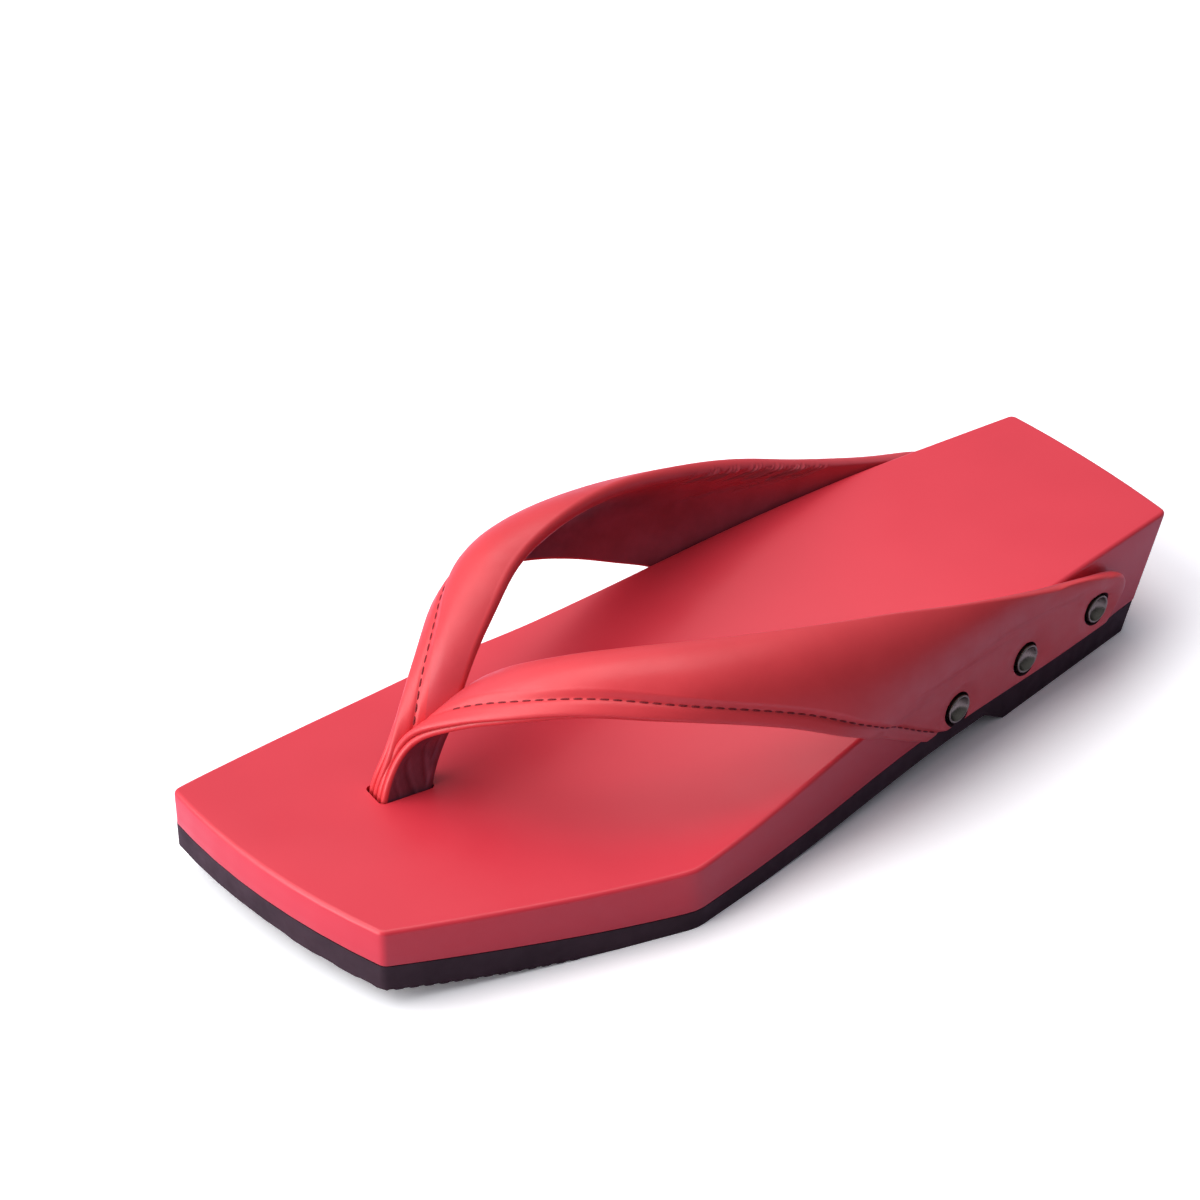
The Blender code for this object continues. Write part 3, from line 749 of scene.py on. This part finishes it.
def block_mesh(name, top, under, edge_round, bottom_round):
    """Body over the outline between two height lines, with rounded edges and gridded faces."""
    sides = four_sides(ACROSS_COUNT, ALONG_COUNT)
    loop = loop_of(sides)
    low = under(loop[:, 1]) + bottom_round
    high = top(loop[:, 1]) - edge_round
    rings = []
    for angle in np.radians((90, 60, 30)):
        plan = inset(loop, bottom_round * (1 - math.cos(angle)))
        rings.append(with_z(plan, under(plan[:, 1]) + bottom_round * (1 - math.sin(angle))))
    for share in (0.0, 0.33, 0.66, 1.0):
        rings.append(with_z(loop, low + (high - low) * share))
    for angle in np.radians((15, 30, 45, 60, 75, 90)):
        plan = inset(loop, edge_round * (1 - math.cos(angle)))
        rings.append(with_z(plan, top(plan[:, 1]) - edge_round * (1 - math.sin(angle))))
    form = bmesh.new()
    made = [add_ring(form, rake_heel(ring)) for ring in rings]
    skin(form, made)
    for ring, verts, line in ((rings[0], made[0], under), (rings[-1], made[-1], top)):
        plan = patch(split_loop(ring[:, :2], [len(side) for side in sides]))
        fill_grid(form, rake_heel(with_z(plan, line(plan[..., 1]))), verts)
    return mesh_of(name, form)


def slot_points():
    """Plan of the slot, a rectangle with round corners."""
    half_wide = POST_THICKNESS / 2 + FIT_GAP * 1.5
    half_long = POST_DEPTH / 2 + FIT_GAP
    points = []
    for cx, cy, first in ((1, 1, 0), (-1, 1, 90), (-1, -1, 180), (1, -1, 270)):
        for degrees in range(first, first + 91, 15):
            angle = math.radians(degrees)
            points.append((
                cx * (half_wide - SLOT_CORNER) + SLOT_CORNER * math.cos(angle),
                cy * (half_long - SLOT_CORNER) + SLOT_CORNER * math.sin(angle),
            ))
    return points


def post_centre(share):
    """Plan point on the post's middle line, from its front to its rear."""
    way = np.array([math.sin(POST_TURN), math.cos(POST_TURN)])
    return way * POST_DEPTH * share


def make_footbed():
    block = block_mesh("footbed_block", footbed_top, wood_under, TOP_EDGE_ROUND, UNDER_EDGE_ROUND)
    centre = Matrix.Translation((*post_centre(SLOT_CENTRE), 0.0)) @ Matrix.Rotation(-POST_TURN, 4, "Z")
    mesh = boolean_cut(block, prism_mesh("slot", slot_points(), -0.05, 0.1, centre))
    finish_piece("footbed_wood", mesh, ["footbed"], [LACQUER], 38)


# Outsole

def make_outsole():
    """The rubber keeps the form of its solid, with its edges softened."""
    form = bmesh.new()
    form.from_mesh(NODES["outsole"].data)
    bmesh.ops.remove_doubles(form, verts=form.verts, dist=1e-6)
    bmesh.ops.dissolve_limit(form, angle_limit=math.radians(0.4), verts=form.verts, edges=form.edges)
    sharp = [e for e in form.edges if len(e.link_faces) == 2 and e.calc_face_angle(0) > math.radians(38)]
    bmesh.ops.bevel(
        form, geom=sharp, offset=RUBBER_EDGE_ROUND, offset_type="OFFSET", segments=2, profile=0.5,
        affect="EDGES", clamp_overlap=True)
    bmesh.ops.transform(form, matrix=Matrix.Translation(-SHIFT), verts=form.verts)
    mesh = mesh_of("outsole_rubber", form)
    finish_piece("outsole_rubber", mesh, ["outsole"], [RUBBER], 25)


def outline_span(y):
    """Lowest and highest x of the outline at a distance y behind the post."""
    ahead = np.roll(OUTLINE, -1, axis=0)
    crosses = (OUTLINE[:, 1] - y) * (ahead[:, 1] - y) < 0
    one, two = OUTLINE[crosses], ahead[crosses]
    x = one[:, 0] + (two[:, 0] - one[:, 0]) * (y - one[:, 1]) / (two[:, 1] - one[:, 1])
    return x.min(), x.max()


def make_tread():
    """Low cross ribs under the sprung toe, which end where the rubber nears the floor."""
    form = bmesh.new()
    places = np.arange(0.0, RIB_REACH * LENGTH, RIB_PITCH) + RIB_PITCH - POST_FROM_TOE
    for y in places:
        height = min(RIB_HEIGHT, tread(y) - RIB_HEIGHT / 2)
        if height < RIB_HEIGHT / 3:
            continue
        rings = []
        # How far below the rubber's face each ring lies, and half its width in shares of the pitch
        for drop, half in ((-RIB_HEIGHT, 0.34), (0.0, 0.34), (height, 0.2)):
            inset_x = 0.0001 + max(drop, 0.0) * 0.3
            ring = []
            for side, way in ((0, -1), (1, -1), (1, 1), (0, 1)):
                at = y + way * half * RIB_PITCH
                x = outline_span(at)[side] + (inset_x if side == 0 else -inset_x)
                ring.append((x, at, tread(at) - drop))
            rings.append(add_ring(form, ring))
        skin(form, rings)
        form.faces.new(rings[0])
        form.faces.new(rings[2])
    finish_piece("tread_ribs", mesh_of("tread_ribs", form), None, [RUBBER], 30)


# Straps

def post_section(hand, shares, z_of):
    """Lining points on one side of the post, from its front to its rear."""
    sideways = np.array([math.cos(POST_TURN), -math.sin(POST_TURN)]) * POST_THICKNESS / 2
    points = [post_centre(share) + sideways * hand for share in shares]
    return np.array([(x, y, z_of(y)) for x, y in points])


def free_point(hand, out, along, up):
    """Point in the air, out in shares of the way to the side and up in shares of the room."""
    y = along * STRAP_REACH
    return np.array([out * side_x(y, hand), y, footbed_top(y) + up * INSTEP_ROOM])


def free_section(hand, row, shares):
    """Lining points across the strap where it is in the air, arched by the row's crown."""
    out, along, up, rear_out, rear_along, rear_up, crown = row
    front = free_point(hand, out, along, up)
    rear = free_point(hand, rear_out, rear_along, rear_up)
    points = front + (rear - front) * shares[:, None]
    lift = 4 * shares * (1 - shares) * crown * INSTEP_ROOM
    outward = np.array([hand * out, 0.0, 1.0])
    return points + lift[:, None] * outward / np.linalg.norm(outward)


def tab_point(hand, along, down, off=0.0):
    """Point off the wood's side, down in shares of its height."""
    y = along * STRAP_REACH
    top, under = footbed_top(y), wood_under(y)
    return np.array([side_x(y, hand) + hand * off, y, top - down * (top - under)])


def wall_matrix(hand, along, down, off):
    """Frame on the side of the wood, with Z pointing out of it."""
    y = along * STRAP_REACH
    span = HEAD_RADIUS / 2
    run = Vector((side_x(y + span, hand) - side_x(y - span, hand), 2 * span, 0.0)).normalized()
    out = Vector((run.y, -run.x, 0.0)) * hand
    up = Vector((0.0, 0.0, 1.0))
    matrix = Matrix((up.cross(out), up, out)).transposed().to_4x4()
    matrix.translation = Vector(tab_point(hand, along, down)) + out * off
    return matrix


def tab_section(hand, row, shares):
    front_along, front_down, rear_along, rear_down = row
    return np.array([
        tab_point(
            hand, front_along + (rear_along - front_along) * share,
            front_down + (rear_down - front_down) * share, TAB_GAP)
        for share in shares])


def strap_rows(hand, shares):
    """Lining sections of a strap, from the foot of the post to the tab's end."""
    table = OUTER_STRAP if hand > 0 else INNER_STRAP
    rows = [
        post_section(hand, shares, lambda y: wood_under(y) + SLOT_FLOOR_GAP),
        post_section(hand, shares, footbed_top),
    ]
    rows += [free_section(hand, row, shares) for row in table]
    rows += [tab_section(hand, row, shares) for row in TAB_SECTIONS]
    return np.array(rows)


def thickness_rows(hand):
    """Thickness of the margin and of the body, and the padding's height, at each section."""
    count = len(OUTER_STRAP if hand > 0 else INNER_STRAP)
    post = POST_THICKNESS / 2
    rows = [(post, post, 0.0)] * 2
    for i in range(count):
        opening = min(max((i - 1) / BLEND_SECTIONS, 0.0), 1.0)
        closing = min(max((i - count) / BLEND_SECTIONS + 1, 0.0), 1.0)
        body = post + (BODY_THICKNESS - post) * opening
        body += (TAB_THICKNESS - body) * closing
        margin = post + (MARGIN_THICKNESS - post) * opening
        rows.append((margin, body, PUFF * opening * (1 - closing)))
    rows += [(MARGIN_THICKNESS, TAB_THICKNESS, 0.0)] * len(TAB_SECTIONS)
    return np.array(rows)


def keep_off_wood(surface, hand):
    """Push lining points beside the footbed out to its side, and less and less just above it."""
    y, z = surface[..., 1], surface[..., 2]
    above = np.maximum(z - footbed_top(y) - FIT_GAP, 0.0)
    limit = side_x(y, hand) + hand * (TAB_GAP - above * WOOD_LEAN)
    deep = (above < WOOD_REACH) & (z > wood_under(y)) & (y > POST_DEPTH * 2)
    inside = deep & (hand * (limit - surface[..., 0]) > 0)
    surface[..., 0] = np.where(inside, limit, surface[..., 0])
    return surface


def strap_profile(width, margin, body, puff):
    """Cross-section from the front edge over the top and back along the lining.
    Each point is (distance from the front edge, height over the lining, zone)."""
    rear = width - REAR_FOLD
    start = MARGIN_WIDTH + MARGIN_STEP + STEP_FOOT
    layer = margin / 4
    points = []

    def put(distance, height, zone=NO_ZONE):
        points.append((distance, height, zone))

    def bead(middle, angles):
        for angle in np.radians(angles):
            put(layer * (1 - math.cos(angle)) * 1.1, layer * (middle + math.sin(angle)))

    put(layer * 1.15, 0.0)
    bead(1, (-60, -30, 0, 30, 60, 80))
    put(layer * 1.35, layer * 2)
    bead(3, (-80, -60, -30, 0, 30, 60))
    put(layer * 1.15, margin)
    for distance, share in GROOVE_SECTION:
        put(distance, margin - STITCH_GROOVE * share)
    rise = body - margin
    for t in (0.12, 0.3, 0.5, 0.7, 0.88, 1.0):
        up = math.sin(t * math.pi / 2) ** 1.1
        height = margin + rise * up - STITCH_GROOVE * 0.2 * (1 - t)
        put(MARGIN_WIDTH + (start - MARGIN_WIDTH) * t, height)
    for t in np.linspace(0.025, 1.0, 42):
        put(start + (rear - start) * t, body + puff * 4 * t * (1 - t) * (1.15 - 0.3 * t), t)
    for angle in np.radians((75, 58, 42, 27, 12, -3, -18, -34, -50, -68, -90)):
        put(rear + REAR_FOLD * math.cos(angle), body / 2 * (1 + math.sin(angle)), FOLD_ZONE)
    low = layer * 1.15 + 0.0004
    for t in np.linspace(0.97, 0.0, 34):
        put(low + (rear - low) * t, 0.0, UNDER_ZONE + t)
    return np.array(points)


def zones(zone):
    """Which points of a cross-section lie on the padded body, the rear fold and the lining."""
    return (zone >= 0) & (zone <= 1.0), zone == FOLD_ZONE, zone >= UNDER_ZONE


def margin_roll(hand, s, distance):
    """How far the front margin turns down where the strap is in the air."""
    depth, reach = MARGIN_ROLLS[hand]
    free = smoothstep(0.10, 0.20, s) * (1 - smoothstep(0.55, 0.78, s))
    return depth * free * np.clip(1 - np.asarray(distance) / reach, 0.0, 1.0) ** 2


def hole_dips(points, centres):
    """How far the leather sinks round and below the rivets."""
    nearest = np.full(len(points), 1.0)
    for centre in centres:
        away = points - centre
        away[:, 2] *= np.where(away[:, 2] < 0, 0.7, 1.0)
        nearest = np.minimum(nearest, np.linalg.norm(away, axis=1))
    return DIP_DEPTH * (1 - smoothstep(HEAD_RADIUS, DIP_REACH, nearest))


def thread_line(surface, normals, widths, margins, hand):
    """Points and normals of the stitch line on a strap."""
    shares = STITCH_LINE / widths
    rolls = margin_roll(hand, np.linspace(0.0, 1.0, len(surface)), STITCH_LINE)
    points, ups = [], []
    for i in range(len(surface)):
        share = min(shares[i], 1.0)
        up = spline(SHARES, normals[i], share)[0]
        point = spline(SHARES, surface[i], share)[0]
        points.append(point + up * (margins[i] - STITCH_GROOVE * THREAD_SINK - rolls[i]))
        ups.append(up)
    return np.array(points), np.array(ups)


def stitch_mesh(name, points, ups, first, last):
    """Short threads sunk in the stitch line, each pointed at both ends."""
    reach = np.concatenate([[0], np.cumsum(np.linalg.norm(np.diff(points, axis=0), axis=1))])

    def read(rows, place):
        return np.array([np.interp(place, reach, rows[:, k]) for k in range(3)])

    angles = turns(STITCH_SIDES)
    form = bmesh.new()
    at = first
    while at + STITCH_LENGTH < min(last, reach[-1]):
        rings = []
        for share, thick in THREAD_SHAPE:
            place = at + STITCH_LENGTH * share
            point, up = read(points, place), read(ups, place)
            side = np.cross(up, read(points, place + 0.0003) - point)
            side /= np.linalg.norm(side)
            lift = -STITCH_RADIUS * 1.2 * (1 - math.sin(math.pi * share) ** 0.5)
            rings.append(add_ring(form, [
                point + up * (lift + STITCH_RADIUS * thick * math.sin(a))
                + side * STITCH_RADIUS * 1.1 * thick * math.cos(a)
                for a in (angles if thick else angles[:1])]))
        skin(form, rings)
        at += STITCH_PITCH
    return mesh_of(name, form)


def crease_field(creases, s, t):
    """Depth of soft troughs at places along and across the strap."""
    total = np.zeros(np.broadcast(s, t).shape)
    for s0, t0, s1, t1, half, depth in creases:
        a, b = np.array([s0, t0]) * CREASE_SCALE, np.array([s1, t1]) * CREASE_SCALE
        way = b - a
        length = np.linalg.norm(way)
        px, py = s * CREASE_SCALE[0] - a[0], t * CREASE_SCALE[1] - a[1]
        along = (px * way[0] + py * way[1]) / length
        off = (px * way[1] - py * way[0]) / length
        begun = smoothstep(-half, half * 1.5, along)
        ended = smoothstep(length - half * 1.5, length + half, along)
        total += depth * np.exp(-0.5 * (off / half) ** 2) * (begun * (1 - ended))
    return total


def gathers(s, t):
    """Fine puckers where the leather turns over the rear edge, as heights on the underside."""
    phase = 2 * math.pi * s * GATHER_RUN / GATHER_PITCH
    wander = 0.9 * np.sin(phase * 0.137 + 1.3) + 0.6 * np.sin(phase * 0.291)
    wave = np.sin(phase + wander * 2.2) * (0.62 + 0.38 * np.sin(phase * 0.173 + 0.4))
    band = np.exp(-0.5 * ((t - 0.93) / 0.055) ** 2)
    reach = smoothstep(0.58, 0.64, s) * (1 - smoothstep(0.76, 0.82, s))
    return GATHER_DEPTH * wave * band * reach


def strap_surface(hand):
    """Grid of points on the lining, thicknesses and distances along it, and the length in the slot."""
    rows = strap_rows(hand, SHARES)
    reach = np.linalg.norm(np.diff(rows[:, len(SHARES) // 2], axis=0), axis=1)
    params = np.concatenate([[0.0], np.cumsum(reach)])
    places = np.linspace(0.0, params[-1], STRAP_STEPS)
    step = params[-1] / (STRAP_STEPS - 1)
    surface = keep_off_wood(spline(params, rows, places), hand)
    surface = keep_off_wood(blur(surface, FIRST_BLUR / step), hand)
    surface = np.swapaxes(blur(np.swapaxes(surface, 0, 1), COLUMN_BLUR), 0, 1)
    surface = blur(surface, LAST_BLUR / step)
    if hand > 0:
        # The outer tab's upper rear edge stands a little off the wood
        at = places / params[-1]
        lift = CORNER_LIFT * smoothstep(0.84, 0.90, at) * (1 - smoothstep(0.93, 0.975, at))
        surface[..., 0] += lift[:, None] * smoothstep(0.76, 1.0, SHARES)[None]
    thickness = blur(spline(params, thickness_rows(hand), places), THICKNESS_BLUR / step)
    return surface, thickness, places, params[1]


def creased(hand, s, left, distance, over, zone, body):
    """Heights over the lining with the creases, the gathers, the rolled margin and the round end."""
    top, fold, under = zones(zone)
    over = over - np.where(top, crease_field(TOP_CREASES[hand], s, zone), 0.0)
    over = over + np.where(under, crease_field(UNDER_CREASES[hand], s, zone - UNDER_ZONE), 0.0)
    over = over + np.where(under, gathers(s, zone - UNDER_ZONE), 0.0)
    over = over + np.where(fold, gathers(s, 0.95) * (1 - smoothstep(0.2, 0.7, over / body)), 0.0)
    over = over - margin_roll(hand, s, distance)
    if left < END_ROUND:
        over = over * math.sqrt(max(1 - (1 - left / END_ROUND) ** 2, 0.02))
    return over


def underside_shade_share(hand, s, over, zone, body):
    """How far the leather's colour turns to the painted shade and sheen of the underside at each point of a
    cross-section.
    """
    top, fold, under = zones(zone)
    # Painted shade on the underside, full towards its front edge and half at the rear fold, fading out up
    # the fold.
    inner = np.where(under, 0.50 + 0.50 * (1 - smoothstep(0.50, 0.985, zone - UNDER_ZONE)), 0.0)
    inner = np.where(fold, 0.50 * (1 - smoothstep(0.0, 0.8, over / body)), inner)
    # The inner strap's painted underside shade is lighter towards its rear.
    if hand < 0:
        inner = inner * (1 - 0.22 * smoothstep(0.58, 0.72, s))
    # By the post the rear fold and underside take the full painted shade.
    at_post = 1 - smoothstep(0.10, 0.16, s)
    inner = np.where(fold | under, np.maximum(inner, at_post), inner)
    # The grain side is painted a little darker where the straps join, as shade in the groove between them
    painted_joint_shade = smoothstep(0.05, 0.12, s) * (1 - smoothstep(0.16, 0.32, s))
    return np.where(top, 0.22 * painted_joint_shade, inner)


def strap_mesh(name, hand, surface, normals, widths, thickness, places, centres):
    """Closed body of a strap, with each vertex told how far its colour turns to the painted underside
    shade.
    """
    form = bmesh.new()
    # The "lining" layer holds each vertex's share of painted shade and sheen.
    painted_shade = form.verts.layers.float.new("lining")
    length = places[-1]
    rings = []
    for i, place in enumerate(places):
        s, left, body = place / length, length - place, thickness[i][1]
        distance, over, zone = strap_profile(widths[i], *thickness[i]).T
        over = creased(hand, s, left, distance, over, zone, body)
        inner = underside_shade_share(hand, s, over, zone, body)
        shares = np.clip(distance / widths[i], 0.0, 1.0)
        points = spline(SHARES, surface[i], shares)
        dips = hole_dips(points, centres) * smoothstep(*DIP_END, left)
        over = over - np.where(zones(zone)[0], dips, 0.0)
        ups = spline(SHARES, normals[i], shares)
        ups /= np.linalg.norm(ups, axis=1)[:, None]
        ring = add_ring(form, points + ups * over[:, None])
        for vertex, value in zip(ring, inner):
            vertex[painted_shade] = value
        rings.append(ring)
    skin(form, rings)
    form.faces.new(rings[0])
    form.faces.new(rings[-1])
    return mesh_of(name, form)


def hole_cutter(matrices):
    """Round holes for the rivet heads, a little wider at the leather's face."""
    seat = FIT_GAP + HEAD_SEAT
    section = [
        (0.0, 0.02), (HOLE_RADIUS + 0.0005, 0.02), (HOLE_RADIUS + 0.00035, 0.0036),
        (HOLE_RADIUS, 0.0026), (HOLE_RADIUS, seat), (0.0, seat)]
    pulled = [Matrix.Translation((0.0, *HOLE_PULL)) @ matrix for matrix in matrices]
    cutter = turned_mesh("seats", section, HOLE_SIDES, pulled)
    # Faces cut by the holes take the second material, near-black painted shade.
    for face in cutter.polygons:
        face.material_index = 1
    return cutter


def make_strap(name, hand):
    """One strap, from the toe post over the foot to its tab, with its holes and stitches."""
    surface, thickness, places, in_slot = strap_surface(hand)
    normals = np.cross(np.gradient(surface, axis=0), np.gradient(surface, axis=1)) * hand
    normals /= np.linalg.norm(normals, axis=2)[..., None]
    widths = np.linalg.norm(surface[:, -1] - surface[:, 0], axis=1)
    matrices = [wall_matrix(hand, along, down, 0.0) for along, down in RIVETS]
    centres = [np.array(matrix.translation) for matrix in matrices]
    mesh = strap_mesh(name, hand, surface, normals, widths, thickness, places, centres)
    mesh.materials.append(LEATHER)
    # The second material is painted shade inside the rivet holes.
    mesh.materials.append(HOLE_SHADE)
    mesh = boolean_cut(mesh, hole_cutter(matrices))
    thing = finish_piece(name, mesh, ["upper"], [], 50)

    points, ups = thread_line(surface, normals, widths, thickness[:, 0], hand)
    first, last = in_slot + STITCH_STARTS[hand], places[-1] - STITCH_END_GAP
    threads = stitch_mesh(name + "_stitches", points, ups, first, last)
    finish_piece(name + "_stitches", threads, None, [THREAD])


# Rivets

def make_rivets():
    """Heads dished inside a rolled rim, each over its shank."""
    radius = HEAD_RADIUS + HEAD_HOLE_CLEARANCE * 0.3
    profile = [(0.0, HEAD_RIM - HEAD_BOWL)]
    for share in (0.15, 0.3, 0.42, 0.52, 0.6, 0.67, 0.73, 0.78, 0.82):
        profile.append((radius * share, HEAD_RIM - HEAD_BOWL * (1 - (share / BOWL_SHARE) ** 3)))
    for angle in np.radians((150, 120, 90, 60, 30, 0)):
        across = radius * (1 - RIM_ROLL + RIM_ROLL * math.cos(angle))
        profile.append((across, HEAD_RIM + radius * RIM_ROLL * math.sin(angle)))
    profile += [(radius, -HEAD_OUT), (SHANK_RADIUS, -HEAD_OUT)]
    profile += [(SHANK_RADIUS, -SHANK_DEPTH), (0.0, -SHANK_DEPTH)]
    seat = 2 * FIT_GAP + HEAD_SEAT + HEAD_OUT
    for hand, side in ((1, "lateral"), (-1, "medial")):
        for number, (along, down) in enumerate(RIVETS, start=1):
            label = f"rivet_{side}_{number}"
            mesh = turned_mesh(label + "_head", profile, HEAD_SIDES, [wall_matrix(hand, along, down, seat)])
            finish_piece(label + "_head", mesh, [label], [METAL], 45)


make_footbed()
make_outsole()
make_tread()
make_strap("strap_outer", 1)
make_strap("strap_inner", -1)
make_rivets()


# Stage: a pale floor, soft light and the camera

def floor_material():
    """White paper that throws back less light on the sandal than the eye sees of it."""
    made = new_material("pale_floor", FLOOR_SEEN, 0.9, specular=0.0)
    tree = made.node_tree
    ray = tree.nodes.new("ShaderNodeLightPath")
    thrown = tree.nodes.new("ShaderNodeBsdfDiffuse")
    mirrored = tree.nodes.new("ShaderNodeBsdfDiffuse")
    thrown.inputs["Color"].default_value = FLOOR_THROWN
    mirrored.inputs["Color"].default_value = FLOOR_MIRRORED
    unseen = tree.nodes.new("ShaderNodeMixShader")
    tree.links.new(ray.outputs["Is Glossy Ray"], unseen.inputs["Fac"])
    tree.links.new(thrown.outputs["BSDF"], unseen.inputs[1])
    tree.links.new(mirrored.outputs["BSDF"], unseen.inputs[2])
    mix = tree.nodes.new("ShaderNodeMixShader")
    tree.links.new(ray.outputs["Is Camera Ray"], mix.inputs["Fac"])
    tree.links.new(unseen.outputs["Shader"], mix.inputs[1])
    tree.links.new(tree.nodes["Principled BSDF"].outputs["BSDF"], mix.inputs[2])
    tree.links.new(mix.outputs["Shader"], tree.nodes["Material Output"].inputs["Surface"])
    return made


def make_stage():
    """Pale floor, and a sky that is brighter on one side."""
    bpy.ops.mesh.primitive_plane_add(size=12.0, location=(0, 0, 0))
    floor = bpy.context.object
    floor.name = "floor"
    floor.data.materials.append(floor_material())

    world = bpy.data.worlds.new("studio")
    bpy.context.scene.world = world
    world.use_nodes = True
    tree = world.node_tree
    sky = tree.nodes["Background"]
    sky.inputs["Color"].default_value = SKY_COLOUR
    toward = tree.nodes.new("ShaderNodeVectorMath")
    toward.operation = "DOT_PRODUCT"
    toward.inputs[1].default_value = SKY_SIDE
    tree.links.new(tree.nodes.new("ShaderNodeTexCoord").outputs["Generated"], toward.inputs[0])
    strength = spread(tree, toward.outputs["Value"], 0.03, 0.50, (-0.9, 0.9))
    tree.links.new(strength, sky.inputs["Strength"])
    bpy.context.scene.view_settings.view_transform = "Standard"


def area_light(name, place, aim, size, power, colour=(1.0, 1.0, 1.0)):
    data = bpy.data.lights.new(name, "AREA")
    data.shape = "RECTANGLE"
    data.size, data.size_y = size
    data.energy = power
    data.color = colour
    lamp = bpy.data.objects.new(name, data)
    bpy.context.scene.collection.objects.link(lamp)
    lamp.location = place
    way = Vector(aim) - Vector(place)
    lamp.rotation_euler = way.to_track_quat("-Z", "Y").to_euler()


def make_lights():
    area_light("key", (-0.44, -0.98, 0.92), (0.0, -0.02, 0.02), (1.25, 1.25), 16.8)
    area_light("front", (-0.15, -1.27, 0.22), (0.0, -0.05, 0.02), (0.9, 0.3), 7.5, (1.0, 0.98, 1.0))
    area_light("top", (-0.35, 0.10, 1.15), (0.0, 0.0, 0.02), (0.9, 0.9), 6.2)


def make_camera():
    yaw, pitch, roll = CAMERA_YAW, CAMERA_PITCH, CAMERA_ROLL
    level = math.cos(pitch)
    forward = Vector((math.sin(yaw) * level, math.cos(yaw) * level, -math.sin(pitch)))
    right = Vector((math.cos(yaw), -math.sin(yaw), 0.0))
    up = right.cross(forward)
    across = right * math.cos(roll) + up * math.sin(roll)
    above = up * math.cos(roll) - right * math.sin(roll)
    data = bpy.data.cameras.new("camera")
    data.lens = CAMERA_LENS
    data.sensor_width = 36.0
    data.clip_start = 0.01
    camera = bpy.data.objects.new("camera", data)
    bpy.context.scene.collection.objects.link(camera)
    turn = Matrix((across, above, -forward)).transposed().to_4x4()
    turn.translation = Vector(CAMERA_PLACE) + SHIFT
    camera.matrix_world = turn
    bpy.context.scene.camera = camera


make_stage()
make_lights()
make_camera()
